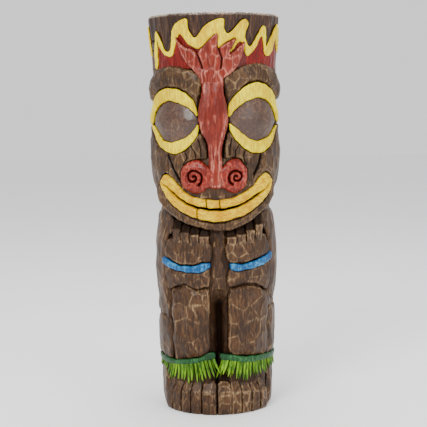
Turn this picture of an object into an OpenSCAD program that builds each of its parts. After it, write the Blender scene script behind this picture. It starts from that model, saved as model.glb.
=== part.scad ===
// Carved and painted tiki figure, standing on its own flat base. Millimetres.
// The figure faces -Y, its own left hand is at +X, and Z points up.
// Every outline below is a list of [degrees round the log from the front, height].

/* [Log] */
// Overall height of the figure
total_height = 520; // [480:1:560]
// Radius of the log at the crown's rim
rim_radius = 88.5; // [84:0.5:92]
// Radius of the log at the foot of the crown
crown_foot_radius = 81.5; // [78:0.5:86]
// Radius of the log through the eyes and cheeks
face_radius = 84; // [80:0.5:88]
// Radius of the log at the neck
neck_radius = 70; // [64:0.5:76]
// Radius of the log through the arms
torso_radius = 79; // [74:0.5:84]
// Radius of the log through the shins
shin_radius = 76.5; // [72:0.5:82]
// Radius of the flat base
base_radius = 70; // [66:0.5:74]

/* [Joints between pieces] */
// Height where the head meets the body
neck_joint = 281; // [276:1:286]
// Height where the crown meets the head
crown_joint = 452; // [450:1:458]
// Depth to which a relief piece is let into the log
inlay = 7; // [4:0.5:10]
// Depth to which a limb is let into the log
limb_inlay = 15; // [10:0.5:20]

/* [Relief] */
// How far the brows stand out from the log
brow_rise = 4; // [2:0.5:6]
// How far the eyelids stand out from the log
lid_rise = 3.5; // [2:0.5:6]
// How far the cheeks stand out from the log
cheek_rise = 2.5; // [1:0.5:5]
// How far the lips stand out from the log
lip_rise = 7; // [4:0.5:9]
// Radius reached by the ridge of the nose
nose_reach = 96; // [90:0.5:102]
// How far the nostril scrolls stand out from the log
scroll_rise = 11; // [7:0.5:14]
// How far the yellow flames stand out from the crown
flame_rise = 1.5; // [1:0.25:2]
// How far the red field stands out from the crown
field_rise = 0.75; // [0.25:0.25:1.25]
// How far the plume above the nose stands out from the crown
plume_rise = 4; // [2:0.5:6]

/* [Limbs] */
// Radius of a finger
finger_radius = 5; // [4:0.25:6]
// How far the shins and knees stand out from the log
shin_rise = 2.5; // [1:0.5:5]
// How far the arms stand out from the log
arm_rise = 1.5; // [1:0.5:4]
// How far the painted bands stand out from the log
cuff_rise = 3.5; // [2:0.5:5]
// Blades of grass on each anklet
blades = 20; // [12:1:28]

/* [Hidden] */
$fn = 96;

// The nose stands further forward than the rim does behind, so the log sits back by half of that.
front_reach = nose_reach;
setting_back = (front_reach - rim_radius) / 2;
reach = 130;
// Least distance kept between two cuts that would otherwise fall on one line.
sliver = 0.2;
// Radii at which the outlines on the head and on the body are measured.
head_chart = 88;
body_chart = 80;
// Angle round the log that parts the limbs in front from the arms and haunches at the sides.
front_edge = 62;
// How far the eyeball reaches from the axis, and its radius.
eyeball_reach = face_radius + 4;
eyeball_radius = 43;
jaw_rise = lip_rise - 3;
// Depth of the flames in the crown, and how the crown is divided to cut them.
flame_inlay = 4;
flame_lengths = 6;
flame_start = -72;
flame_step = 350 / flame_lengths;
// Angles that the two feet face, and how far each spreads to either side.
foot_right_angle = -53.3;
foot_left_angle = 46.7;
foot_half = 49.6;
// Plane at which the side pieces stop and the back of the body begins.
back_plane = 30;
// Heights between which the muzzle swells out over the neck: foot, full swell, top.
muzzle_foot = 240;
muzzle_low = 275;
muzzle_high = 300;
muzzle_top = 322;
// How far the low part of a foot lies in behind its toes, and its ankle behind the band.
instep = 7;
ankle_inset = 1.2;
// How far the belly and the palms lie in behind the limbs in front of them.
belly_inset = 6;
palm_inset = 9.5;

wood = [0.36, 0.26, 0.18];
wood_dark = [0.27, 0.19, 0.14];
yellow = [0.87, 0.80, 0.22];
lip_yellow = [0.86, 0.68, 0.12];
red = [0.66, 0.20, 0.15];
nose_red = [0.66, 0.30, 0.25];
blue = [0.26, 0.60, 0.82];
dark_green = [0.20, 0.42, 0.26];
lime = [0.52, 0.72, 0.16];

// Radius of the bare log against height, from the base to the rim.
PROFILE = [[0, base_radius], [4, base_radius + 2], [42, base_radius + 3.5],
  [58, base_radius + 3.5], [72, shin_radius], [142, shin_radius], [150, shin_radius - 1.5],
  [170, torso_radius], [218, torso_radius], [245, torso_radius - 2.5],
  [264, neck_radius + 3], [neck_joint, neck_radius], [288, neck_radius + 4],
  [304, face_radius - 4.5], [322, face_radius - 1], [348, face_radius], [366, face_radius - 2],
  [386, face_radius], [408, face_radius - 2], [430, face_radius],
  [446, face_radius - 2], [crown_joint, crown_foot_radius],
  [total_height - 3, rim_radius], [total_height, rim_radius - 2]];

// Ridge of the nose as [radius, height], from its foot to its top, closed on the axis.
NOSE_PROFILE = [[0, 292], [face_radius + 5, 292], [nose_reach - 1, 306], [nose_reach - 5, 340],
  [nose_reach, 385], [nose_reach - 4, 420], [face_radius + 3, 439], [0, 439]];

// Outlines of the pieces on the front of the head; "a" is the figure's right side, at -X.
BROW_A = [[-13.5, 437], [-19, 445], [-29, 450], [-40, 453], [-53, 453], [-67, 448], [-80, 440],
  [-87, 428], [-84, 413], [-74, 410], [-66, 418.5], [-56, 426], [-43, 427.5], [-32, 425],
  [-23, 414], [-17.5, 402], [-16, 412], [-14.5, 425]];
BROW_B = [[5.5, 437], [11, 445], [18, 450], [28, 454], [39, 456], [50, 455], [61, 450],
  [74, 441], [82, 428], [79, 413], [70, 411], [61, 421], [50, 430.5], [41, 434.5], [32, 434],
  [24, 429], [17, 419.5], [11.5, 409.5], [9.5, 401], [8, 412], [6.5, 425]];
UPPER_LID_A = [[-79, 381], [-78, 395], [-72, 408], [-63, 418], [-53, 424], [-43, 425],
  [-35, 423], [-28, 418], [-22, 410], [-19, 401], [-17.5, 391], [-21, 397], [-27, 403],
  [-34, 407], [-41, 410], [-48, 411], [-55, 408], [-62, 403], [-68, 395], [-73, 382]];
UPPER_LID_B = [[9.5, 390], [9.5, 398], [11, 406], [15, 414], [21, 422], [27, 428], [33, 431],
  [41, 431], [50, 427], [60, 418], [67, 407], [71, 395], [72, 382], [66, 386], [62, 397],
  [56, 406], [49, 411], [41, 414], [34, 413], [27, 410], [21, 405], [15, 399]];
EYE_A = [[-17, 385], [-21, 394], [-27, 401], [-34, 405.5], [-41, 408.5], [-48, 409.5],
  [-55, 406.5], [-61, 401.5], [-66.5, 394], [-70, 383], [-66, 373], [-60, 365.5], [-54, 360],
  [-45, 357.5], [-37, 359.5], [-31, 362.5], [-25, 367.5], [-20, 374.5]];
EYE_B = [[10, 386], [15, 396.5], [21, 403], [27, 408.5], [34, 411.5], [41, 412.5], [49, 409.5],
  [56, 404], [61, 396], [65, 384], [61.5, 374], [56, 365.5], [46, 360.5], [37, 358.5],
  [29, 361.5], [22, 368.5], [15, 376.5]];
LOWER_LID_A = [[-76, 376], [-67, 363], [-58, 352], [-49, 346], [-41, 343], [-34, 345],
  [-28, 350], [-22, 359], [-17.5, 369], [-17, 379], [-20, 373], [-25, 366], [-31, 361],
  [-37, 358], [-45, 356], [-54, 358], [-61, 364], [-68, 374], [-72, 377]];
LOWER_LID_B = [[10, 380], [12, 370], [16, 361], [22, 352], [28, 346], [36, 343], [45, 345],
  [54, 352], [62, 363], [68, 376], [62, 371], [56, 364], [46, 359], [37, 357], [29, 360],
  [22, 367], [15, 375]];
CHEEK_A = [[-86, 374], [-77, 371], [-69, 360], [-59, 349], [-49, 344], [-41, 341], [-33, 343],
  [-27, 347.5], [-20.5, 358], [-15.5, 368], [-11.5, 358], [-10, 347], [-10.5, 337], [-20, 336.5],
  [-28.5, 331], [-33, 320.5], [-33, 306], [-31.5, 300], [-37, 307], [-43, 314], [-51, 318],
  [-60, 310], [-67, 301], [-74, 286], [-85, 286], [-88, 330]];
CHEEK_B = [[81, 374], [72, 373], [64, 361], [55.5, 350], [45.5, 343], [36, 341], [27, 344],
  [20.5, 350.5], [14, 360.5], [9.5, 370], [7, 358], [6, 347], [6, 337.5], [15, 338.5], [22, 333],
  [25.5, 321.5], [25.5, 306], [25, 300], [31, 305], [38, 315], [47, 319], [55.5, 313], [62, 304],
  [72, 286], [83, 286], [87, 330]];
NOSE = [[-12, 438], [-13, 422], [-15, 406], [-16, 393], [-15, 381], [-13, 369], [-9, 357],
  [-8, 343], [-8, 328], [-8, 314], [-7, 301], [-1, 298], [4, 301], [4.5, 314], [3.5, 328],
  [3, 343], [4, 357], [6, 368], [8, 380], [8, 391], [7, 406], [5, 421], [4, 438]];
SCROLL_A = [[-9.5, 324], [-14, 332], [-20, 334], [-27, 329], [-31, 320], [-31, 307],
  [-27, 297.5], [-20, 293.5], [-13.5, 295], [-9.5, 301]];
SCROLL_B = [[5.5, 324], [9, 332], [15, 335.5], [20, 330.5], [23.5, 321], [23.5, 307], [20, 298],
  [15, 294], [9.5, 294.5], [5.5, 300]];
UPPER_LIP = [[-56, 305], [-51, 315], [-42, 311], [-35, 302], [-28, 293], [-21, 288], [-10, 285],
  [-2, 284], [10, 286], [21, 292], [31, 301], [39, 312], [47, 316], [52, 309], [44, 297],
  [33, 290], [24, 282.5], [11, 275.5], [-2, 273.5], [-18, 276.5], [-30, 283.5], [-39, 292.5],
  [-48, 301]];
LOWER_LIP = [[-56, 300], [-48, 297], [-39, 289], [-30, 280], [-18, 273], [-2, 270], [11, 272],
  [24, 279], [33, 286], [44, 293], [52, 304], [51, 295], [45, 286], [35, 275], [24, 265],
  [11, 259], [-2, 256], [-18, 260], [-29, 266], [-39, 275], [-47, 285]];
JAW = [[-66, 300], [-62, 282], [-48, 265], [-32, 254], [-17, 248], [-1, 244], [15, 246],
  [31, 256], [46, 270], [57, 283], [61, 302], [55, 306], [53.5, 295], [46.5, 283.5],
  [35.5, 272.5], [24, 262.5], [11, 256.5], [-2, 253.5], [-18, 257.5], [-29.5, 263.5],
  [-40, 272.5], [-49, 283], [-59, 303]];

// The crown: the plume, then the edges of the yellow flames, which run right round.
PLUME = [[-12.5, 441.5], [-19.5, 447], [-26, 457], [-31.5, 470.5], [-36.5, 490], [-30.5, 479],
  [-20.5, 473], [-16.5, 469.5], [-13, 475], [-6.5, 485], [0, 493], [1, 484], [1.5, 475],
  [6, 479], [16, 487.5], [13, 477], [10.5, 467], [18, 475], [24.5, 483.5], [22, 468],
  [17.5, 453], [11.5, 445], [5, 441.5]];
FLAME_TOP = [[-69, 474], [-65, 491], [-63, 499], [-57, 487], [-53, 476], [-47, 472],
  [-43, 480], [-41, 498], [-35, 508], [-26, 512], [-25, 500], [-21, 490], [-17, 490],
  [-9, 504], [5, 512], [6, 500], [9, 493], [14, 497], [20, 507], [25, 511], [28, 505],
  [25, 492], [28, 480], [32, 478], [37, 488], [44, 503], [48, 500], [50, 478], [55, 485],
  [64, 500], [72, 508], [74, 494], [80, 484], [88, 494], [98, 509], [101, 494], [108, 480],
  [118, 492], [126, 511], [130, 495], [138, 484], [148, 496], [154, 508], [158, 490],
  [166, 481], [176, 495], [184, 511], [187, 496], [195, 483], [206, 498], [212, 509],
  [216, 492], [224, 479], [234, 494], [241, 510], [245, 494], [253, 484], [263, 498],
  [269, 508], [272, 494], [276, 476]];
FLAME_FOOT = [[276, 468], [268, 478], [262, 490], [256, 470], [246, 474], [237, 489],
  [230, 466], [220, 472], [209, 489], [202, 470], [192, 474], [182, 491], [174, 470],
  [162, 468], [152, 488], [144, 471], [134, 474], [124, 490], [116, 468], [104, 468],
  [95, 489], [87, 472], [76, 476], [68, 490], [60, 470], [50, 468], [44, 491], [37, 477],
  [31, 468], [27, 467], [21, 484], [11, 468], [17, 488], [8, 483], [1, 475], [-1, 492],
  [-9, 483], [-16, 475], [-25, 481], [-33, 494], [-39, 478], [-43, 467], [-51, 468],
  [-59, 478], [-63, 490], [-65, 458], [-68, 451], [-71, 457]];

// Outlines of the pieces on the body.
ARM_A = [[-40, 258], [-75, 266], [-95, 262], [-112, 250], [-118, 215], [-112, 170], [-100, 140],
  [-84, 130], [-70, 136], [-40, 150]];
ARM_B = [[40, 258], [73, 266], [93, 262], [110, 250], [116, 215], [110, 180], [98, 152],
  [84, 143], [70, 148], [40, 160]];
FOREARM_A = [[-60, 195], [-50, 190.5], [-38, 188.5], [-26, 187.5], [-17, 188.5], [-10, 194],
  [-10, 173], [-14, 171.5], [-23, 168], [-34, 174], [-46, 170], [-54, 165], [-60, 172]];
FOREARM_B = [[60, 200], [54, 196], [40, 192.5], [27, 190.5], [16, 189.5], [10, 192], [9, 173.5],
  [14, 171.5], [22, 174.5], [36, 173.5], [48, 167.5], [58, 162], [60, 172]];
WRIST_A = [[-62, 206], [-50, 201], [-40, 197], [-30, 197], [-22, 198], [-16, 201],
  [-9, 202], [-9, 196], [-17, 190], [-26, 189], [-38, 190], [-50, 192], [-62, 197]];
WRIST_B = [[11, 201], [20, 199], [29, 200], [43, 204], [54, 208], [61, 211], [61, 203],
  [54, 198], [40, 194], [27, 192], [16, 191], [11, 194]];
HAND_A = [[-58, 226], [-50, 231], [-30, 229], [-9, 227], [-7, 214], [-9, 204], [-16, 203.5],
  [-22, 200.5], [-30, 199.5], [-40, 199.5], [-50, 203.5], [-59, 208]];
HAND_B = [[8, 226], [22, 228], [38, 232], [52, 235], [56, 228], [58, 212], [43, 206.5],
  [29, 202.5], [20, 201.5], [10, 203], [7, 214]];
SHIN_A = [[-52, 160], [-47, 166], [-34, 171], [-22, 165], [-13, 168], [-10, 160], [-10, 120],
  [-11, 86], [-20, 78], [-35, 74], [-51, 71], [-52, 115]];
SHIN_B = [[10, 160], [14, 167], [21, 170], [35, 169], [48, 163], [57, 154], [58, 115],
  [57, 76], [46, 76], [34, 77], [22, 79], [10, 85], [10, 120]];
HAUNCH_A = [[-40, 116], [-66, 126], [-84, 125], [-100, 114], [-108, 98], [-102, 80], [-84, 73],
  [-66, 73], [-40, 74]];
HAUNCH_B = [[40, 125], [70, 137], [84, 136], [98, 122], [106, 100], [100, 82], [84, 75],
  [66, 76], [40, 77]];
ANKLET_A = [[-104, 70], [-84, 70], [-64, 71], [-50, 70], [-35, 73.2], [-20, 77], [-11, 83.5],
  [-5, 84], [-5, 77], [-12, 74.3], [-20, 70.4], [-30, 67], [-41, 65], [-54, 63], [-66, 62.3],
  [-84, 62.3], [-104, 62.3]];
ANKLET_B = [[1, 82.5], [12, 80.6], [24, 77], [34, 76], [46, 75.2], [60, 74.3], [76, 72.6],
  [100, 71.3], [100, 63.2], [76, 64.2], [60, 66], [49, 67], [37, 67.3], [24, 69], [12, 72.6],
  [1, 75.6]];

BELLY = [[-9, 248], [0, 250], [9, 248], [9, 172], [0, 168], [-9, 172]];
// Where the grass meets the anklet bands, from the back of each foot to its inner side or back.
PALM_A = [[-54, 220], [-54, 256], [-46, 255], [-32, 248], [-20, 243], [-9, 238], [-9, 220]];
PALM_B = [[8, 220], [8, 238], [16, 240], [31, 248], [42, 256], [50, 262], [54, 258], [54, 220]];
ANKLE_A = [[-112, 0], [-4.5, 0], [-4.5, 83], [-11, 83], [-20, 76], [-35, 72], [-50, 69.5],
  [-64, 70], [-84, 69], [-112, 69]];
ANKLE_B = [[-1.8, 0], [112, 0], [112, 70], [76, 71], [60, 73], [46, 74], [34, 75], [24, 76],
  [12, 80], [1, 82], [-1.8, 82]];
FRINGE_TOP_A = [[-102, 66], [-66, 66], [-50, 67], [-35, 70], [-20, 73], [-8, 80], [-5, 80]];
FRINGE_TOP_B = [[1, 79], [12, 77], [24, 73], [34, 71], [49, 71], [76, 68], [98, 67]];

// Toes as [degrees round the log, width, height of the front ridge].
TOES_A = [[-60.5, 10.5, 24], [-48, 10.5, 27], [-36, 10.5, 29], [-24.5, 10.5, 30], [-11, 15, 31]];
TOES_B = [[4.5, 14.5, 31], [16.5, 10.5, 30], [28, 10.5, 29], [39.5, 10.5, 27], [52, 10.5, 24]];
toe_top = 44;
toe_back = 67;
toe_tip = 74.5;
// Fingers as [degrees round the log, height of the root, height of the tip].
FINGERS_A = [[-42, 232, 254], [-32.5, 231, 248], [-23, 230, 244.5], [-13.5, 229, 241.5]];
FINGERS_B = [[12, 228.5, 240], [21.5, 230, 244], [31.5, 232.5, 250.5], [42, 236, 260]];

// Catmull-Rom point between b and c.
function spline_point(a, b, c, d, t) = 0.5 * (2 * b + (c - a) * t
  + (2 * a - 5 * b + 4 * c - d) * t * t + (3 * b - a - 3 * c + d) * t * t * t);
function smooth(p, n = 3) = let (m = len(p)) [for (i = [0:m - 1]) for (k = [0:n - 1])
  spline_point(p[(i + m - 1) % m], p[i], p[(i + 1) % m], p[(i + 2) % m], k / n)];
function log_radius(z) = lookup(z, PROFILE);
// The log's own profile between two heights, d away from its surface.
function side(d, z0, z1) = concat([[log_radius(z0) + d, z0]],
  [for (p = PROFILE) if (p[0] > z0 + 0.01 && p[0] < z1 - 0.01) [p[1] + d, p[0]]],
  [[log_radius(z1) + d, z1]]);
function reversed(list) = [for (i = [len(list) - 1:-1:0]) list[i]];

// Moves a piece back so that the figure's overall box is centred on the origin.
module set_back() {
  translate([0, setting_back, 0])
    children();
}

// A ring of the log between two depths and two heights.
module ring(d0, d1, z0, z1) {
  rotate_extrude()
    polygon(concat(side(d1, z0, z1), reversed(side(d0, z0, z1))));
}

// A solid length of the log.
module length_of_log(d, z0, z1) {
  rotate_extrude()
    polygon(concat([[0, z0]], side(d, z0, z1), [[0, z1]]));
}

// An outline on the log carried straight out from the axis, facing the angle a.
module cutter(points, a, r) {
  rotate([0, 0, a])
    rotate([90, 0, 0])
      linear_extrude(height = reach)
        polygon([for (p = points) [r * sin(p[0] - a), p[1]]]);
}

// A wedge from the axis outwards, half degrees to each side of the angle a.
module wedge(a, half, z0, z1) {
  rotate([0, 0, a])
    translate([0, 0, z0])
      linear_extrude(height = z1 - z0)
        polygon([[0, 0], [-reach * tan(half), -reach], [reach * tan(half), -reach]]);
}

// The part of a ring of the log that lies inside an outline.
module relief(points, a, r, d0, d1) {
  z = [for (p = points) p[1]];
  intersection() {
    ring(d0, d1, max(min(z) - 2, 0), min(max(z) + 2, total_height));
    cutter(smooth(points), a, r);
  }
}

module head_relief(points, rise) {
  z = [for (p = points) p[1]];
  intersection() {
    ring(-inlay, rise, min(z) - 2, min(max(z) + 2, crown_joint - sliver));
    cutter(smooth(points), 0, head_chart);
  }
}

// A piece of the muzzle, which swells out over the neck: its face does not follow the log.
module muzzle_relief(points, rise) {
  r = face_radius + rise;
  intersection() {
    rotate_extrude()
      polygon(concat(
        [[r - 6, muzzle_foot], [r, muzzle_low], [r, muzzle_high], [r - 3, muzzle_top]],
        reversed(side(-inlay, neck_joint, muzzle_top)),
        reversed(side(-limb_inlay, muzzle_foot, neck_joint))));
    cutter(smooth(points), 0, head_chart);
  }
}

// A limb on the front of the body, cut off level with the front block's sides.
module limb(points, rise) {
  intersection() {
    relief(points, 0, body_chart, -limb_inlay, rise);
    front_block(0, neck_joint);
  }
}

// Everything in front of the planes that part the front limbs from the side ones.
module front_block(z0, z1) {
  x = body_chart * sin(front_edge);
  translate([-x, -reach, z0])
    cube([2 * x, reach, z1 - z0]);
}

// The head

module nose_shape() {
  intersection() {
    cutter(smooth(NOSE), 0, head_chart + 3);
    difference() {
      rotate_extrude()
        polygon(NOSE_PROFILE);
      length_of_log(-inlay, 288, 445);
    }
  }
}

// The ball of the eye: a sphere sunk in the log, seen inside the outline of the lids.
module eyeball_shape(points, a, z) {
  intersection() {
    rotate([0, 0, a])
      translate([0, eyeball_radius - eyeball_reach, z])
        sphere(r = eyeball_radius);
    cutter(smooth(points), 0, head_chart);
    difference() {
      length_of_log(12, 350, 420);
      length_of_log(-inlay, 350, 420);
    }
  }
}

// The head behind the face: whole at the back, and cut back under the pieces of the face.
module head_core() {
  color(wood_dark)
    set_back()
      difference() {
      length_of_log(0, neck_joint, crown_joint);
      intersection() {
        ring(-inlay, 30, neck_joint, crown_joint);
        translate([-reach, -reach, 0])
          cube([2 * reach, reach, total_height]);
      }
    }
}

module brow_left() {
  color(wood)
    set_back()
      head_relief(BROW_B, brow_rise);
}

module brow_right() {
  color(wood)
    set_back()
      head_relief(BROW_A, brow_rise);
}

module upper_lid_left() {
  color(yellow)
    set_back()
      head_relief(UPPER_LID_B, lid_rise);
}

module upper_lid_right() {
  color(yellow)
    set_back()
      head_relief(UPPER_LID_A, lid_rise);
}

module lower_lid_left() {
  color(yellow)
    set_back()
      head_relief(LOWER_LID_B, lid_rise);
}

module lower_lid_right() {
  color(yellow)
    set_back()
      head_relief(LOWER_LID_A, lid_rise);
}

module eyeball_left() {
  color(wood)
    set_back()
      eyeball_shape(EYE_B, 39, 386);
}

module eyeball_right() {
  color(wood)
    set_back()
      eyeball_shape(EYE_A, -45, 383);
}

module cheek_left() {
  color(wood)
    set_back()
      head_relief(CHEEK_B, cheek_rise);
}

module cheek_right() {
  color(wood)
    set_back()
      head_relief(CHEEK_A, cheek_rise);
}

module nose_bridge() {
  color(nose_red)
    set_back()
      nose_shape();
}

module nostril_scroll_left() {
  color(red)
    set_back()
      head_relief(SCROLL_B, scroll_rise);
}

module nostril_scroll_right() {
  color(red)
    set_back()
      head_relief(SCROLL_A, scroll_rise);
}

module upper_lip() {
  color(lip_yellow)
    set_back()
      muzzle_relief(UPPER_LIP, lip_rise);
}

module lower_lip() {
  color(lip_yellow)
    set_back()
      muzzle_relief(LOWER_LIP, lip_rise);
}

module jaw() {
  color(wood)
    set_back()
      muzzle_relief(JAW, jaw_rise);
}

// The crown

// The points of an outline that matter to the length of crown between a0 and a1.
function near(points, a0, a1) = [for (p = points) if (p[0] > a0 - 15 && p[0] < a1 + 15) p];

// One length of the crown's relief, cut straight out from the axis at its middle.
module crown_length(points, a0, a1, rise, foot = crown_joint) {
  intersection() {
    ring(-flame_inlay, rise, foot, total_height - 5);
    cutter(points, (a0 + a1) / 2, rim_radius - 2);
    wedge((a0 + a1) / 2, (a1 - a0) / 2 - sliver, foot, total_height);
  }
}

module flames() {
  for (i = [0:flame_lengths - 1]) {
    a0 = flame_start + i * flame_step;
    a1 = a0 + flame_step;
    crown_length(concat(near(FLAME_TOP, a0, a1), near(FLAME_FOOT, a0, a1)), a0, a1, flame_rise);
  }
}

// The red field runs from the foot of the crown up to the foot of the flames.
module field_shape() {
  for (i = [0:flame_lengths - 1]) {
    a0 = flame_start + i * flame_step;
    a1 = a0 + flame_step;
    edge = near(FLAME_FOOT, a0, a1);
    low = [[edge[len(edge) - 1][0], crown_joint - 1], [edge[0][0], crown_joint - 1]];
    crown_length(concat(edge, low), a0, a1, field_rise);
  }
}

// The one hollow that the flames and the field lie in together.
module crown_hollow() {
  for (i = [0:flame_lengths - 1]) {
    a0 = flame_start + i * flame_step;
    a1 = a0 + flame_step;
    edge = near(FLAME_TOP, a0, a1);
    first = edge[0][0] - 2;
    foot = crown_joint - 1;
    low = [[edge[len(edge) - 1][0], foot - 1], [first, foot - 1], [first, crown_joint + 5]];
    crown_length(concat(edge, low), a0, a1, flame_rise, foot);
  }
}

module crown_drum() {
  color(wood_dark)
    set_back()
      difference() {
      length_of_log(0, crown_joint, total_height);
      crown_hollow();
    }
}

module flame_border() {
  color(yellow)
    set_back()
      flames();
}

module flame_field() {
  color(red)
    set_back()
      field_shape();
}

// The plume lies over the flames and the field, and its root is let into the head.
module nose_plume() {
  color(nose_red)
    set_back()
      intersection() {
      rotate_extrude()
        polygon(concat(side(plume_rise, 438, 496), reversed(side(flame_rise, crown_joint, 496)),
          reversed(side(-inlay, 438, crown_joint - sliver))));
      cutter(smooth(PLUME), 0, head_chart);
    }
}

// The body

// A piece at the side of the body: it stops at the front limbs and at the plane of the back.
module side_relief(points, a) {
  x = body_chart * sin(front_edge) + sliver;
  intersection() {
    relief(points, a, body_chart, -limb_inlay, arm_rise);
    translate([a < 0 ? -reach : x, -reach, 0])
      cube([reach - x, reach + back_plane - sliver, neck_joint]);
  }
}

module toe(angle, width, ridge) {
  rotate([0, 0, angle])
    translate([-width / 2, 0, 0])
      rotate([90, 0, 90])
        linear_extrude(height = width)
          polygon([[-toe_back, 0], [2 - toe_tip, 0], [-toe_tip, 5], [1 - toe_tip, ridge],
            [7 - toe_tip, toe_top], [-toe_back, toe_top]]);
}

module toe_row(toes) {
  for (t = toes)
    toe(t[0], t[1], t[2]);
}

module finger_row(fingers) {
  for (f = fingers)
    rotate([0, 0, f[0]])
      translate([0, -(torso_radius - 4), f[1]]) {
        cylinder(h = f[2] - f[1], r = finger_radius);
        translate([0, 0, f[2] - f[1]])
          sphere(r = finger_radius);
      }
}

// The lower edge of the grass: a saw-tooth of blade points that dips in the middle.
function blade_edge(a0, a1, z, dip) = [for (i = [0:2 * blades]) let (u = i / (2 * blades))
  [a0 + (a1 - a0) * u, z - dip * sin(180 * u) + (i % 2 == 0 ? 8 : 2 * sin(i * 97))]];

module fringe_shape(band, a, z, dip) {
  first = band[0];
  last = band[len(band) - 1];
  intersection() {
    ring(-1, cuff_rise - 1, 30, 90);
    cutter(concat(blade_edge(last[0], first[0], z, dip), band), a, body_chart);
  }
}

// A foot: a low part behind the toes, and an ankle under the band and the grass.
module foot_shape(points, a) {
  half = foot_half;
  intersection() {
    union() {
      intersection() {
        ring(-limb_inlay, -instep, 0, toe_top);
        wedge(a, half, 0, toe_top);
      }
      intersection() {
        ring(-limb_inlay, -ankle_inset, toe_top, 90);
        cutter(points, a, body_chart);
        wedge(a, half, toe_top, 90);
      }
    }
    translate([-reach, -reach, 0])
      cube([2 * reach, reach + back_plane - sliver, neck_joint]);
  }
}

// The body behind the limbs: whole at the back, and cut back under the limbs in front.
module torso_core() {
  color(wood_dark)
    set_back()
      difference() {
      length_of_log(0, 0, neck_joint);
      intersection() {
        ring(-limb_inlay, 30, 0, neck_joint);
        translate([-reach, -reach, 0])
          cube([2 * reach, reach + back_plane, total_height]);
      }
    }
}

// The belly shows as a barrel in the gap between the forearms and above the knees.
module belly() {
  color(wood_dark)
    set_back()
      relief(BELLY, 0, body_chart, -limb_inlay, -belly_inset);
}

module arm_left() {
  color(wood)
    set_back()
      side_relief(ARM_B, 88);
}

module arm_right() {
  color(wood)
    set_back()
      side_relief(ARM_A, -88);
}

module forearm_left() {
  color(wood)
    set_back()
      limb(FOREARM_B, 0);
}

module forearm_right() {
  color(wood)
    set_back()
      limb(FOREARM_A, 0);
}

module wrist_band_left() {
  color(blue)
    set_back()
      limb(WRIST_B, cuff_rise);
}

module wrist_band_right() {
  color(blue)
    set_back()
      limb(WRIST_A, cuff_rise);
}

module hand_left() {
  color(wood)
    set_back() {
      limb(HAND_B, 1);
      limb(PALM_B, -palm_inset);
    }
}

module hand_right() {
  color(wood)
    set_back() {
      limb(HAND_A, 1);
      limb(PALM_A, -palm_inset);
    }
}

module fingers_left() {
  color(wood)
    set_back()
      finger_row(FINGERS_B);
}

module fingers_right() {
  color(wood)
    set_back()
      finger_row(FINGERS_A);
}

module shin_left() {
  color(wood)
    set_back()
      limb(SHIN_B, shin_rise);
}

module shin_right() {
  color(wood)
    set_back()
      limb(SHIN_A, shin_rise);
}

module haunch_left() {
  color(wood)
    set_back()
      side_relief(HAUNCH_B, 80);
}

module haunch_right() {
  color(wood)
    set_back()
      side_relief(HAUNCH_A, -80);
}

module anklet_band_left() {
  color(dark_green)
    set_back()
      relief(ANKLET_B, 50, body_chart, -1, cuff_rise);
}

module anklet_band_right() {
  color(dark_green)
    set_back()
      relief(ANKLET_A, -50, body_chart, -1, cuff_rise);
}

module grass_fringe_left() {
  color(lime)
    set_back()
      fringe_shape(FRINGE_TOP_B, 50, 53, 5);
}

module grass_fringe_right() {
  color(lime)
    set_back()
      fringe_shape(FRINGE_TOP_A, -50, 49, 7);
}

module foot_left() {
  color(wood_dark)
    set_back()
      foot_shape(ANKLE_B, foot_left_angle);
}

module foot_right() {
  color(wood_dark)
    set_back()
      foot_shape(ANKLE_A, foot_right_angle);
}

module toes_left() {
  color(wood)
    set_back()
      toe_row(TOES_B);
}

module toes_right() {
  color(wood)
    set_back()
      toe_row(TOES_A);
}

torso_core();
belly();
arm_left();
arm_right();
forearm_left();
forearm_right();
wrist_band_left();
wrist_band_right();
hand_left();
hand_right();
fingers_left();
fingers_right();
shin_left();
shin_right();
haunch_left();
haunch_right();
anklet_band_left();
anklet_band_right();
grass_fringe_left();
grass_fringe_right();
foot_left();
foot_right();
toes_left();
toes_right();
head_core();
jaw();
upper_lip();
lower_lip();
cheek_left();
cheek_right();
lower_lid_left();
lower_lid_right();
eyeball_left();
eyeball_right();
upper_lid_left();
upper_lid_right();
brow_left();
brow_right();
nose_bridge();
nostril_scroll_left();
nostril_scroll_right();
crown_drum();
flame_border();
flame_field();
nose_plume();
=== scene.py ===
"""Looks of the tiki figure: a log carved with a knife, then painted and dry-brushed.

Every member is modelled flat, as a slab whose width runs round the log and whose height
runs up it, is cut with knife facets, and is then wrapped round the log. Lengths inside the
classes are in millimetres and angles in degrees from the front; meshes are in metres.
"""

import logging
import math
from dataclasses import dataclass, field
from enum import Enum
from typing import Optional, Sequence

import bpy
import numpy as np
from mathutils import Matrix, Vector


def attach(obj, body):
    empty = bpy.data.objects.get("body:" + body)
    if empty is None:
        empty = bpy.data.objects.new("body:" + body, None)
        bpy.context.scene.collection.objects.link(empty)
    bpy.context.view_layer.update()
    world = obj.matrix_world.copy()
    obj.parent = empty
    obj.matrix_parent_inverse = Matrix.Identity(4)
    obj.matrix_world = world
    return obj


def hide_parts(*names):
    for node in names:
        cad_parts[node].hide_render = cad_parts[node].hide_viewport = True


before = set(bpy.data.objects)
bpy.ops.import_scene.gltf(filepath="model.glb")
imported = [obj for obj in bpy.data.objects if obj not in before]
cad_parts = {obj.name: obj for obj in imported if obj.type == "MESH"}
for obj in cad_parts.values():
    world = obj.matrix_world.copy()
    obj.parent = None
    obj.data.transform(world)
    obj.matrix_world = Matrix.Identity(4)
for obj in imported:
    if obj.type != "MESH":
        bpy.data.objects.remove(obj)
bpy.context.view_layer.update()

LOG = logging.getLogger("tiki")
MM = 0.001
Chart = Sequence[tuple[float, float]]

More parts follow.
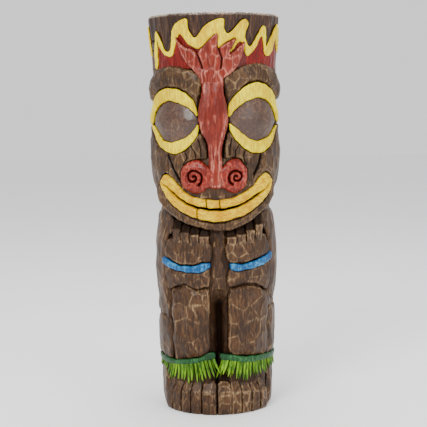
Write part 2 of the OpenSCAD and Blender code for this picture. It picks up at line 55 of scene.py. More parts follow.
# Radii at which degrees round the log are measured as distances, for each height of it.
FACE_CHART = 84.0
BODY_CHART = 80.0
FOOT_CHART = 78.0
TOE_CHART = 76.0
# Share of a log's radius that its side cuts leave alone on the ends.
CORE_SHARE = 0.86
# Height under which a shaded member gets painted shade, and how strongly.
SHADE_TOP = 44.0
SHADE_WEIGHT = 0.9
# Distance once round the log on the face's chart.
ROUND = math.tau * FACE_CHART


# ----------------------------------------------------------------------------- the log


@dataclass(frozen=True)
class Trunk:
    """The log that everything is cut from: its radius at each height, in millimetres."""

    heights: tuple[float, ...] = (
        -20, 0, 3, 20, 42, 58, 72, 90, 142, 150, 165, 190, 218, 245, 264, 276, 286, 302, 322,
        348, 366, 386, 408, 430, 446, 456, 480, 505, 517, 521, 540,
    )
    radii: tuple[float, ...] = (
        68, 70.5, 73, 74.5, 75, 74, 76, 77, 77, 76, 78.5, 80, 79.5, 77, 74, 70.5, 73, 79.5,
        83, 84.5, 82.5, 84.5, 82.5, 84.5, 82, 81.5, 83.5, 86, 87.5, 87.5, 87.5,
    )
    set_back: float = 3.75

    def radius(self, z: np.ndarray) -> np.ndarray:
        """Radius of the bare log, with its bends eased.

        Args:
            z: Heights in millimetres.

        Returns:
            The radius at each height.
        """
        fine = np.arange(-20.0, 541.0, 1.0)
        reach, margin = 7, 6
        eased = np.pad(np.interp(fine, self.heights, self.radii), margin, mode="edge")
        for _ in range(2):
            eased = np.convolve(eased, np.ones(reach) / reach, mode="same")
        return np.interp(z, fine, eased[margin:-margin])

    def wrap(self, s: np.ndarray, z: np.ndarray, t: np.ndarray, chart: float) -> np.ndarray:
        """Wraps slab coordinates round the log.

        Args:
            s: Distance round the log from the front, measured at the chart radius.
            z: Height.
            t: Distance out from the bare log.
            chart: Radius at which s is measured.

        Returns:
            One row of x, y, z in metres for each point.
        """
        angle = s / chart
        r = self.radius(z) + t
        x = r * np.sin(angle)
        y = self.set_back - r * np.cos(angle)
        return np.stack([x, y, z], axis=1) * MM


TRUNK = Trunk()


# ----------------------------------------------------------------------------- cutting


def follow(pairs: Chart, where: np.ndarray | float) -> np.ndarray:
    """Value of a line of [place, value] pairs at each place, level beyond its ends."""
    return np.interp(where, [place for place, _ in pairs], [value for _, value in pairs])


def flatten(points: Chart, chart: float) -> list[tuple[float, float]]:
    """Turns [degrees, height] points into distances round the log at the chart radius."""
    return [(math.radians(degrees) * chart, height) for degrees, height in points]


@dataclass(frozen=True)
class Knife:
    """Scoops left by a knife or gouge: a net of shallow hollows with sharp ridges between.

    Attributes:
        across: Width of a scoop round the log.
        along: Length of a scoop up the log.
        depth: Depth of a scoop below its ridges.
        tilt: How unevenly the scoops lean, as a slope.
        seed: Seed of the scatter.
        turns: Chart circumference to fit whole scoops into, or nothing for a small piece.
        ridge: Width of the worn ridge between two scoops.
    """

    across: float = 10.0
    along: float = 12.0
    depth: float = 0.8
    tilt: float = 0.05
    seed: int = 1
    turns: Optional[float] = None
    ridge: float = 0.9

    def cut(self, s: np.ndarray, z: np.ndarray) -> tuple[np.ndarray, np.ndarray]:
        """Depth of the cuts, and where the ridges are.

        Args:
            s: Distances round the log.
            z: Heights.

        Returns:
            The height to add at each point, and a ridge weight from 0 to 1.
        """
        rng = np.random.RandomState(self.seed)
        size = 61
        across = self.across
        columns = size
        if self.turns:
            columns = max(3, int(round(self.turns / self.across)))
            across = self.turns / columns
        shift_s, shift_z = rng.uniform(-0.42, 0.42, (2, max(columns, size), size))
        lean_s, lean_z = rng.uniform(-self.tilt, self.tilt, (2, max(columns, size), size))
        drop = rng.uniform(0.0, 0.6, (max(columns, size), size)) * self.depth
        bow_s = self.depth / (across / 2.0) ** 2
        bow_z = self.depth / (self.along / 2.0) ** 2
        column = np.floor(s / across).astype(int)
        row = np.floor(z / self.along).astype(int)
        first = np.full(len(s), 99.0)
        second = np.full(len(s), 99.0)
        slope = np.ones(len(s))
        for i in range(-2, 3):
            for j in range(-2, 3):
                ci = np.mod(column + i, columns)
                rj = np.mod(row + j, size)
                stagger = 0.5 * np.mod(row + j, 2) if not self.turns else 0.0
                ds = s - (column + i + 0.5 + stagger + shift_s[ci, rj]) * across
                dz = z - (row + j + 0.5 + shift_z[ci, rj]) * self.along
                h = bow_s * ds**2 + bow_z * dz**2 + lean_s[ci, rj] * ds + lean_z[ci, rj] * dz
                h = h - drop[ci, rj]
                steep = 2.0 * np.sqrt((bow_s * ds) ** 2 + (bow_z * dz) ** 2) + self.tilt
                lower = h < first
                second = np.where(lower, first, np.minimum(second, h))
                slope = np.where(lower, steep, slope)
                first = np.where(lower, h, first)
        crest = np.clip(1.0 - (second - first) / (2.0 * slope * self.ridge + 1e-6), 0.0, 1.0)
        return np.minimum(first, self.depth) - self.depth, crest


@dataclass(frozen=True)
class Groove:
    """A cut along a line of [degrees, height] points."""

    line: Chart
    width: float = 1.6
    depth: float = 2.0

    def cut(self, s: np.ndarray, z: np.ndarray, chart: float) -> np.ndarray:
        """Depth of the groove at each point.

        Args:
            s: Distances round the log.
            z: Heights.
            chart: Chart radius that turns degrees into distances.

        Returns:
            A depth from 0 to the groove's own, in millimetres.
        """
        away = distance_to(s, z, flatten(self.line, chart), False)
        return self.depth * np.exp(-((away / self.width) ** 2))


def distance_to(s: np.ndarray, z: np.ndarray, points: Chart, closed: bool) -> np.ndarray:
    """Shortest distance from each place to a line of points.

    Args:
        s: Distances round the log.
        z: Heights.
        points: The line's corners in the same units.
        closed: Whether the last corner joins the first.

    Returns:
        The distances.
    """
    corners = np.asarray(points, dtype=float)
    ends = np.roll(corners, -1, axis=0) if closed else corners[1:]
    starts = corners if closed else corners[:-1]
    best = np.full(len(s), 1e9)
    for (ax, ay), (bx, by) in zip(starts, ends):
        dx, dy = bx - ax, by - ay
        length = dx * dx + dy * dy + 1e-12
        u = np.clip(((s - ax) * dx + (z - ay) * dy) / length, 0.0, 1.0)
        gap = (s - ax - u * dx) ** 2 + (z - ay - u * dy) ** 2
        best = np.minimum(best, gap)
    return np.sqrt(best)


def grown(points: Chart, distance: float) -> list[tuple[float, float]]:
    """An outline moved outwards.

    Args:
        points: The outline's corners.
        distance: How far each side moves.

    Returns:
        The moved corners.
    """
    p = np.asarray(points, dtype=float)
    after = np.roll(p, -1, axis=0)
    turn = np.sign(np.sum(p[:, 0] * after[:, 1] - after[:, 0] * p[:, 1]))
    along = after - p
    along = along / (np.hypot(along[:, 0], along[:, 1])[:, None] + 1e-9)
    side = np.stack([along[:, 1], -along[:, 0]], axis=1) * turn
    corner = side + np.roll(side, 1, axis=0)
    corner = corner / np.maximum(np.hypot(corner[:, 0], corner[:, 1])[:, None], 0.8)
    return [(float(a), float(b)) for a, b in p + corner * distance]


def inside(s: np.ndarray, z: np.ndarray, points: Chart) -> np.ndarray:
    """Whether each place lies inside a closed outline.

    Args:
        s: Distances round the log.
        z: Heights.
        points: The outline's corners in the same units.

    Returns:
        True for each place inside.
    """
    result = np.zeros(len(s), dtype=bool)
    for (ax, ay), (bx, by) in zip(points, list(points[1:]) + [points[0]]):
        crosses = (ay > z) != (by > z)
        at = (bx - ax) * (z - ay) / ((by - ay) if by != ay else 1e-9) + ax
        result ^= crosses & (s < at)
    return result


def smooth_outline(points: Chart, steps: int = 5) -> list[tuple[float, float]]:
    """A closed curve through a few given points.

    Args:
        points: The outline's own points.
        steps: Curve points for each of them.

    Returns:
        The finer outline.
    """
    p = np.asarray(points, dtype=float)
    before, after, beyond = np.roll(p, 1, 0), np.roll(p, -1, 0), np.roll(p, -2, 0)
    curve = []
    for k in range(len(p)):
        a, b, c, d = before[k], p[k], after[k], beyond[k]
        for n in range(steps):
            t = n / steps
            q = 2 * b + (c - a) * t + (2 * a - 5 * b + 4 * c - d) * t * t
            q = q + (3 * b - a - 3 * c + d) * t**3
            curve.append((float(q[0]) / 2, float(q[1]) / 2))
    return curve


# ----------------------------------------------------------------------------- paint


@dataclass(frozen=True)
class Paint:
    """A brushed paint: a base with lighter and darker strokes, dry-brushed ridges, and dark colour
    in the hollows that is partly paint and partly painted shade.

    Attributes:
        name: Name of the material.
        base: Main colour.
        shade: Colour of the darker strokes.
        light: Colour dry-brushed on the ridges and on the raised strokes.
        shade_wash: Colour in the hollows: partly dark paint settled in the carving, partly painted
            shade in gaps, grooves and recesses.
        ridge: How strongly the ridges are dry-brushed.
        streak: How many times longer the strokes are than wide.
        stroke: Strokes per metre.
        gloss: Middle roughness of the dried paint.
        relief: Height of the brush marks in millimetres.
        wear_and_rim_highlight: How much pale bare wood shows through the paint; on the crown's rim
            it is partly wear and partly a painted highlight.
        shine: Strength of the paint's reflections.
    """

    name: str
    base: tuple[float, float, float]
    shade: tuple[float, float, float]
    light: tuple[float, float, float]
    shade_wash: tuple[float, float, float]
    ridge: float = 0.8
    streak: float = 5.0
    stroke: float = 420.0
    gloss: float = 0.42
    relief: float = 0.35
    wear_and_rim_highlight: float = 0.0
    shine: float = 0.22

    def make(self) -> bpy.types.Material:
        """Builds the material's nodes.

        Returns:
            The material.
        """
        material = bpy.data.materials.new(self.name)
        material.use_nodes = True
        tree = material.node_tree
        tree.nodes.clear()
        pen = NodePen(tree)
        out = pen.add("ShaderNodeOutputMaterial")
        skin = pen.add("ShaderNodeBsdfPrincipled")
        pen.join(skin.outputs["BSDF"], out.inputs["Surface"])
        place = pen.add("ShaderNodeTexCoord").outputs["Object"]
        strokes = pen.noise(place, self.stroke, (1.0, 1.0, 1.0 / self.streak), 4.0)
        blotch = pen.noise(place, 38.0, (1.0, 1.0, 0.7), 3.0)
        speck = pen.noise(place, 900.0, (1.0, 1.0, 1.0), 2.0)
        tone = pen.mix(
            pen.step(pen.add_up(strokes, blotch, 0.55), 0.36, 0.66),
            linear(self.shade), linear(self.base),
        )
        crest = pen.attribute("ridge")
        patch = pen.step(blotch, 0.40, 0.58)
        worked = pen.sum("MULTIPLY", pen.step(strokes, 0.34, 0.62), crest)
        dry = pen.sum("MULTIPLY", worked, patch)
        brushed = pen.mix(pen.sum("MULTIPLY", dry, self.ridge), tone, linear(self.light))
        raised = pen.step(pen.add_up(strokes, speck, 0.35), 0.60, 0.80)
        high = pen.sum("MULTIPLY", raised, 0.30)
        lifted = pen.mix(high, brushed, linear(self.light))
        # Painted shade: the hollow weight pulls the colour to shade_wash in hollows, grooves, gaps
        # and recesses, along with dark paint settled in the carving; the shine drops there too.
        hollow = pen.attribute("hollow")
        sunk = pen.step(pen.add_up(hollow, blotch, 0.25), 0.18, 0.95)
        shade_washed = pen.mix(sunk, lifted, linear(self.shade_wash))
        # Pale bare-wood chips on the crown's top and rim bevel: wear, and on the rim also a painted
        # highlight.
        if self.wear_and_rim_highlight > 0.0:
            bare = pen.attribute("wear_and_rim_highlight")
            chip = pen.step(pen.add_up(speck, blotch, 0.5), 0.42, 0.60)
            chipped = pen.sum("MULTIPLY", pen.sum("MULTIPLY", bare, chip), self.wear_and_rim_highlight)
            shade_washed = pen.mix(chipped, shade_washed, linear(BARE_WOOD_AND_RIM_HIGHLIGHT))
        pen.join(shade_washed, skin.inputs["Base Color"])
        rough = pen.add("ShaderNodeMapRange")
        rough.inputs["To Min"].default_value = max(0.05, self.gloss - 0.12)
        rough.inputs["To Max"].default_value = min(1.0, self.gloss + 0.18)
        pen.join(strokes, rough.inputs["Value"])
        pen.join(rough.outputs["Result"], skin.inputs["Roughness"])
        shine = pen.add("ShaderNodeMapRange")
        shine.inputs["To Min"].default_value = self.shine
        shine.inputs["To Max"].default_value = 0.02
        pen.join(sunk, shine.inputs["Value"])
        pen.join(shine.outputs["Result"], skin.inputs["Specular IOR Level"])
        bump = pen.add("ShaderNodeBump")
        bump.inputs["Strength"].default_value = 0.55
        bump.inputs["Distance"].default_value = self.relief * MM
        pen.join(pen.add_up(strokes, speck, 0.4), bump.inputs["Height"])
        pen.join(bump.outputs["Normal"], skin.inputs["Normal"])
        return material


# Pale bare wood for the chips, which on the crown's rim also stand for a painted highlight.
BARE_WOOD_AND_RIM_HIGHLIGHT = (214, 194, 172)


def linear(colour: Sequence[float]) -> tuple[float, float, float, float]:
    """Turns a screen colour from 0 to 255 into a linear one for a node's socket."""
    parts = [c / 255.0 for c in colour[:3]]
    flat = [c / 12.92 if c <= 0.04045 else ((c + 0.055) / 1.055) ** 2.4 for c in parts]
    return (flat[0], flat[1], flat[2], 1.0)


class NodePen:
    """Draws shader nodes in one material."""

    def __init__(self, tree: bpy.types.NodeTree) -> None:
        """Keeps the tree to draw in."""
        self.tree = tree

    def add(self, kind: str) -> bpy.types.Node:
        """Adds a node of one kind."""
        return self.tree.nodes.new(kind)

    def join(self, source: bpy.types.NodeSocket, target: bpy.types.NodeSocket) -> None:
        """Links an output to an input."""
        self.tree.links.new(source, target)

    def noise(
        self, place: bpy.types.NodeSocket, scale: float, stretch: Sequence[float], detail: float
    ) -> bpy.types.NodeSocket:
        """Adds a stretched noise.

        Args:
            place: The coordinates to read.
            scale: Features per metre.
            stretch: Multiplier of each coordinate.
            detail: Layers of finer noise.

        Returns:
            The noise's value.
        """
        mapping = self.add("ShaderNodeMapping")
        mapping.inputs["Scale"].default_value = tuple(stretch)
        self.join(place, mapping.inputs["Vector"])
        noise = self.add("ShaderNodeTexNoise")
        noise.inputs["Scale"].default_value = scale
        noise.inputs["Detail"].default_value = detail
        noise.inputs["Roughness"].default_value = 0.6
        self.join(mapping.outputs["Vector"], noise.inputs["Vector"])
        return noise.outputs["Fac"]

    def attribute(self, name: str) -> bpy.types.NodeSocket:
        """Reads a value that the cutting stored on the mesh."""
        node = self.add("ShaderNodeAttribute")
        node.attribute_name = name
        return node.outputs["Fac"]

    def step(self, value: bpy.types.NodeSocket, low: float, high: float) -> bpy.types.NodeSocket:
        """Eases a value from 0 at low to 1 at high."""
        node = self.add("ShaderNodeMapRange")
        node.interpolation_type = "SMOOTHSTEP"
        node.inputs["From Min"].default_value = low
        node.inputs["From Max"].default_value = high
        self.join(value, node.inputs["Value"])
        return node.outputs["Result"]

    def feed(self, value: object, target: bpy.types.NodeSocket) -> None:
        """Links a socket to an input, or sets a constant on it."""
        if isinstance(value, bpy.types.NodeSocket):
            self.join(value, target)
        else:
            target.default_value = value

    def sum(self, operation: str, *values: object) -> bpy.types.NodeSocket:
        """Works one sum out on sockets and numbers.

        Args:
            operation: The sum's name.
            *values: Its terms in order.

        Returns:
            The result.
        """
        node = self.add("ShaderNodeMath")
        node.operation = operation
        for value, target in zip(values, node.inputs):
            self.feed(value, target)
        return node.outputs[0]

    def add_up(
        self, a: bpy.types.NodeSocket, b: bpy.types.NodeSocket, share: float
    ) -> bpy.types.NodeSocket:
        """Blends a share of b's swing about one half into a."""
        return self.sum("MULTIPLY_ADD", b, share, self.sum("SUBTRACT", a, share / 2.0))

    def mix(
        self, share: bpy.types.NodeSocket, first: object, second: object
    ) -> bpy.types.NodeSocket:
        """Mixes two colours, each a socket or a constant.

        Args:
            share: How much of the second shows.
            first: The colour at 0.
            second: The colour at 1.

        Returns:
            The mixed colour.
        """
        node = self.add("ShaderNodeMix")
        node.data_type = "RGBA"
        self.join(share, node.inputs[0])
        for slot, colour in ((6, first), (7, second)):
            self.feed(colour, node.inputs[slot])
        return node.outputs[2]


BROWN = Paint(
    "brown_wood", (76, 50, 27), (44, 27, 15), (158, 130, 94), (18, 9, 5), ridge=0.75, wear_and_rim_highlight=0.9
)
FACE_BROWN = Paint("face_brown", (78, 53, 28), (44, 28, 16), (156, 128, 92), (16, 8, 5), ridge=0.7)
EYE_BROWN = Paint(
    "eye_brown", (78, 50, 33), (54, 33, 23), (140, 112, 80), (16, 8, 6), ridge=0.5, streak=1.5,
    gloss=0.34, relief=0.12, shine=0.5,
)
BACK_BROWN = Paint(
    "crown_brown", (64, 41, 27), (36, 22, 17), (132, 104, 74), (14, 7, 4), ridge=0.5, streak=9.0,
    wear_and_rim_highlight=1.0,
)
LID_YELLOW = Paint(
    "lid_yellow", (232, 212, 0), (196, 164, 0), (246, 232, 30), (50, 28, 2), ridge=0.4, gloss=0.3,
    shine=0.06,
)
FLAME_YELLOW = Paint(
    "flame_yellow", (230, 208, 0), (198, 160, 0), (246, 232, 30), (54, 30, 2), ridge=0.4, gloss=0.3,
    shine=0.06,
)
LIP_YELLOW = Paint(
    "lip_yellow", (212, 176, 0), (184, 132, 0), (236, 210, 16), (40, 18, 2), ridge=0.5, streak=0.4,
    gloss=0.25, stroke=160.0, shine=0.1,
)
CROWN_RED = Paint(
    "crown_red", (116, 18, 9), (78, 11, 6), (154, 44, 28), (34, 5, 3), ridge=0.25, gloss=0.3
)
NOSE_RED = Paint(
    "nose_red", (126, 42, 27), (90, 25, 16), (206, 134, 114), (38, 8, 6), ridge=0.8, streak=9.0,
    gloss=0.3,
)
SCROLL_RED = Paint(
    "scroll_red", (128, 34, 22), (86, 20, 13), (194, 104, 84), (30, 6, 4), ridge=0.6, gloss=0.3
)
BAND_BLUE = Paint("band_blue", (20, 92, 148), (12, 60, 106), (84, 172, 206), (5, 22, 42))
BAND_GREEN = Paint("band_green", (22, 78, 34), (13, 50, 22), (70, 116, 70), (6, 18, 8))
GRASS_GREEN = Paint(
    "grass_green", (92, 138, 0), (42, 80, 4), (164, 200, 26), (10, 28, 2), ridge=0.9
)


class Finish(Enum):
    """The paints, by the part of the figure that they cover, with the record's slot."""

    BACK = (BROWN, "back_wood")
    BODY = (BROWN, "body_wood")
    LIMB = (BROWN, "limb_wood")
    FACE = (FACE_BROWN, "face_wood")
    EYE = (EYE_BROWN, "eye_wood")
    CROWN = (BACK_BROWN, "crown_wood")
    LID = (LID_YELLOW, "lid_yellow")
    FLAME = (FLAME_YELLOW, "flame_yellow")
    LIP = (LIP_YELLOW, "lip_yellow")
    RED = (CROWN_RED, "crown_red")
    ROSE = (NOSE_RED, "nose_rose")
    SCROLL = (SCROLL_RED, "scroll_red")
    BLUE = (BAND_BLUE, "band_blue")
    GREEN = (BAND_GREEN, "band_green")
    GRASS = (GRASS_GREEN, "grass_green")

    @property
    def paint(self) -> Paint:
        """The paint itself."""
        return self.value[0]

    @property
    def slot(self) -> str:
        """The record's material slot."""
        return self.value[1]


class PaintBox:
    """Makes each paint once and dresses pieces in it."""

    def __init__(self) -> None:
        """Starts with no paints made."""
        self.made: dict[str, bpy.types.Material] = {}

    def dress(self, piece: bpy.types.Object, finish: Finish, node: str) -> None:
        """Paints a piece and ties it to the solid that it stands for.

        Args:
            piece: The finished object.
            finish: Its paint.
            node: The solid that it replaces.
        """
        paint = finish.paint
        if paint.name not in self.made:
            self.made[paint.name] = paint.make()
        piece.data.materials.clear()
        piece.data.materials.append(self.made[paint.name])
        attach(piece, "root")
        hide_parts(node)
        LOG.info("%s: %d faces", piece.name, len(piece.data.polygons))


PAINTS = PaintBox()


# ----------------------------------------------------------------------------- meshes


def settle() -> None:
    """Leaves edit mode with nothing selected."""
    if bpy.context.object and bpy.context.object.mode != "OBJECT":
        bpy.ops.object.mode_set(mode="OBJECT")
    bpy.ops.object.select_all(action="DESELECT")


def take(piece: bpy.types.Object) -> None:
    """Makes one piece the only selected and active one."""
    settle()
    piece.select_set(True)
    bpy.context.view_layer.objects.active = piece


def start_piece(
    name: str, corners: Sequence[Sequence[float]], edges: Sequence, faces: Sequence
) -> bpy.types.Object:
    """Starts a piece from a flat outline or a profile.

    Args:
        name: Name of the piece.
        corners: Places of its corners.
        edges: Pairs of corners, for a profile.
        faces: Rings of corners, for an outline.

    Returns:
        The object, active and selected.
    """
    mesh = bpy.data.meshes.new(f"{name}_carved")
    mesh.from_pydata(corners, edges, faces)
    piece = bpy.data.objects.new(mesh.name, mesh)
    bpy.context.scene.collection.objects.link(piece)
    take(piece)
    return piece


def apply_modifier(piece: bpy.types.Object, kind: str, **settings: object) -> None:
    """Adds a modifier and applies it.

    Args:
        piece: The object to change.
        kind: The modifier's type.
        **settings: Values of the modifier's own fields.
    """
    take(piece)
    modifier = piece.modifiers.new(kind.lower(), kind)
    for name, value in settings.items():
        setattr(modifier, name, value)
    bpy.ops.object.modifier_apply(modifier=modifier.name)


def coordinates(piece: bpy.types.Object) -> np.ndarray:
    """The mesh's corner places, one row each."""
    flat = np.empty(len(piece.data.vertices) * 3)
    piece.data.vertices.foreach_get("co", flat)
    return flat.reshape(-1, 3)


def put(piece: bpy.types.Object, places: np.ndarray) -> None:
    """Writes the mesh's corner places back."""
    piece.data.vertices.foreach_set("co", np.ascontiguousarray(places, dtype=float).ravel())
    piece.data.update()


def store(piece: bpy.types.Object, name: str, values: np.ndarray) -> None:
    """Stores one number for each corner, for the paint to read."""
    layer = piece.data.attributes.get(name) or piece.data.attributes.new(name, "FLOAT", "POINT")
    layer.data.foreach_set("value", np.ascontiguousarray(values, dtype=np.float32))


def finish_mesh(piece: bpy.types.Object, angle: float = 50.0) -> None:
    """Turns the faces outwards and shades the mesh.

    Args:
        piece: The finished object.
        angle: Edges sharper than this stay sharp.
    """
    take(piece)
    bpy.ops.object.mode_set(mode="EDIT")
    bpy.ops.mesh.select_all(action="SELECT")
    bpy.ops.mesh.normals_make_consistent(inside=False)
    bpy.ops.object.mode_set(mode="OBJECT")
    bpy.ops.object.shade_smooth_by_angle(angle=math.radians(angle))
    settle()


@dataclass
class Member:
    """A carved member: an outline raised from the log, rounded, cut with the knife and painted.

    Attributes:
        name: Name of the piece and of the solid it replaces.
        outline: Closed outline of [degrees, height] points.
        finish: Its paint.
        top: Height of its face above the log.
        root: Depth of its back below the log's surface.
        edge: Radius that its edge is rounded to.
        swell: Extra height that the middle of the face has over its edge.
        spread: Distance from the edge over which the face swells.
        knife: The cuts on its face.
        grooves: Lines cut into it.
        lift: [height, extra] pairs that tilt the face along the log.
        lean: [degrees, extra] pairs that tilt the face round the log.
        outer: [height, radius] pairs that replace the log's own profile under the face.
        arris: How strongly the line where the rounded edge begins is dry-brushed.
        shade_and_stain: [height, weight] pairs of extra dark colour; on the belly, the palms and
            the feet it is painted shade, on the jaw and the fingers it darkens those heights.
        bulges: Rounded rises as (degrees, height, width in degrees, tallness, rise).
        crests: [height, weight] pairs of level ridges that the dry brush catches.
        grow: How far the piece swells beyond its outline to meet its neighbours.
        shaded: Angle beyond which the extra dark colour and the painted shade under SHADE_TOP stop,
            or nothing.
        voxel: Size of the mesh's faces.
        chart: Radius at which the outline's degrees are measured.
        soft: Whether the outline is a smooth curve or straight between its points.
        wander: How far the cut edge wanders from the outline.
        rim_line: The grown outline in distances, kept by slab for the carving.
    """

    name: str
    outline: Chart
    finish: Finish
    top: float = 3.0
    root: float = -7.0
    edge: float = 1.6
    swell: float = 0.0
    spread: float = 12.0
    knife: Knife = Knife()
    grooves: Sequence[Groove] = ()
    lift: Chart = ()
    lean: Chart = ()
    outer: Chart = ()
    arris: float = 0.45
    shade_and_stain: Chart = ()
    shaded: float = 0.0
    bulges: Sequence[tuple[float, float, float, float, float]] = ()
    crests: Chart = ()
    grow: float = 0.9
    voxel: float = 1.0
    chart: float = FACE_CHART
    soft: bool = True
    wander: float = 0.3
    rim_line: list[tuple[float, float]] = field(default_factory=list)

    def slab(self) -> bpy.types.Object:
        """Extrudes the flat outline into a slab and gives it an even mesh."""
        points = smooth_outline(self.outline) if self.soft else list(self.outline)
        self.rim_line = grown(flatten(points, self.chart), self.grow)
        corners = [(s, h, self.root) for s, h in self.rim_line]
        piece = start_piece(self.name, corners, [], [tuple(range(len(corners)))])
        bpy.ops.object.mode_set(mode="EDIT")
        bpy.ops.mesh.select_all(action="SELECT")
        bpy.ops.mesh.extrude_region_move(
            TRANSFORM_OT_translate={"value": (0.0, 0.0, self.top - self.root)}
        )
        bpy.ops.mesh.select_all(action="SELECT")
        bpy.ops.mesh.normals_make_consistent(inside=False)
        bpy.ops.object.mode_set(mode="OBJECT")
        apply_modifier(piece, "REMESH", mode="VOXEL", voxel_size=self.voxel)
        apply_modifier(piece, "SMOOTH", factor=0.5, iterations=2)
        return piece

    def face_height(
        self, s: np.ndarray, z: np.ndarray
    ) -> tuple[np.ndarray, np.ndarray, np.ndarray]:
        """Height of the carved face, with its ridges and hollows.

        Args:
            s: Distances round the log.
            z: Heights.

        Returns:
            The face's height above the log, the ridge weight, and the weight of the dark paint and
            painted shade in its hollows.
        """
        degrees = np.degrees(s / self.chart)
        depth = distance_to(s, z, self.rim_line, True)
        depth = np.where(inside(s, z, self.rim_line), depth, 0.0)
        near = np.clip(1.0 - depth / self.edge, 0.0, 1.0)
        rounding = self.edge * (1.0 - np.sqrt(np.clip(1.0 - near**2, 0.0, 1.0)))
        rise = 1.0 - (1.0 - np.clip(depth / self.spread, 0.0, 1.0)) ** 2
        cut, crest = self.knife.cut(s, z)
        face = self.top + self.swell * rise - rounding + cut
        # Painted shade along the rounded edge, darkening towards the gap round the piece.
        hollow = np.clip(near, 0.0, 1.0) ** 4 * 0.55
        # Grooves darken with their depth: dark paint in the cut and painted shade.
        for groove in self.grooves:
            sunk = groove.cut(s, z, self.chart)
            face = face - sunk
            hollow = np.maximum(hollow, np.clip(sunk / groove.depth * 1.1, 0.0, 1.0))
        if self.lift:
            face = face + follow(self.lift, z)
        if self.lean:
            face = face + follow(self.lean, degrees)
        for angle, height, width, tall, rise in self.bulges:
            off = (degrees - angle) / width
            face = face + rise * np.exp(-(off**2) - ((z - height) / tall) ** 2)
        if self.outer:
            face = face + follow(self.outer, z)
            face = face - TRUNK.radius(z)
        crest = np.maximum(crest, self.arris * np.exp(-(((depth - self.edge) / 0.9) ** 2)))
        for height, weight in self.crests:
            crest = np.maximum(crest, weight * np.exp(-(((z - height) / 1.0) ** 2)))
        # Extra dark colour by height, and painted shade under SHADE_TOP; both stop beyond the
        # shaded angle.
        if self.shade_and_stain:
            shade_wash = follow(self.shade_and_stain, z)
            if self.shaded:
                shade_wash = np.maximum(shade_wash, SHADE_WEIGHT * (z < SHADE_TOP))
                shade_wash = shade_wash * (np.abs(degrees) < self.shaded)
            hollow = np.maximum(hollow, shade_wash)
        return face, crest * (1.0 - 0.8 * hollow), hollow

    def build(self) -> bpy.types.Object:
        """Makes the member, still unpainted.

        Returns:
            The object.
        """
        piece = self.slab()
        flat = coordinates(piece)
        s, z, t = flat[:, 0], flat[:, 1], flat[:, 2]
        wave = np.sin(s * 0.53 + z * 0.31) * np.cos(s * 0.27 - z * 0.45)
        s = s + self.wander * wave
        z = z + self.wander * np.sin(s * 0.37 - z * 0.29)
        share = np.clip((t - self.root) / (self.top - self.root), 0.0, 1.0)
        face, crest, hollow = self.face_height(flat[:, 0], flat[:, 1])
        raised = self.root + share * (face - self.root)
        put(piece, TRUNK.wrap(s, np.maximum(z, 0.0), raised, self.chart))
        store(piece, "ridge", crest * share)
        # Painted shade: the sides of the slab that go down into the gaps between pieces are made
        # fully dark.
        store(piece, "hollow", np.clip(hollow + (1.0 - share) * 1.6, 0.0, 1.0))
        store(piece, "wear_and_rim_highlight", np.zeros(len(s)))
        finish_mesh(piece)
        return piece

    def paint(self) -> bpy.types.Object:
        """Makes the member and paints it.

        Returns:
            The finished object.
        """
        piece = self.build()
        PAINTS.dress(piece, self.finish, self.name)
        return piece


def join_members(
    name: str, made: Sequence[bpy.types.Object], finish: Finish
) -> bpy.types.Object:
    """Joins several carved members into one piece and paints it.

    Args:
        name: Name of the joined piece and of the solid that it replaces.
        made: The members.
        finish: The paint of the whole.

    Returns:
        The finished object.
    """
    settle()
    for piece in made:
        piece.select_set(True)
    bpy.context.view_layer.objects.active = made[0]
    bpy.ops.object.join()
    made[0].name = f"{name}_carved"
    made[0].data.name = made[0].name
    settle()
    PAINTS.dress(made[0], finish, name)
    return made[0]


# ----------------------------------------------------------------------------- the log's body


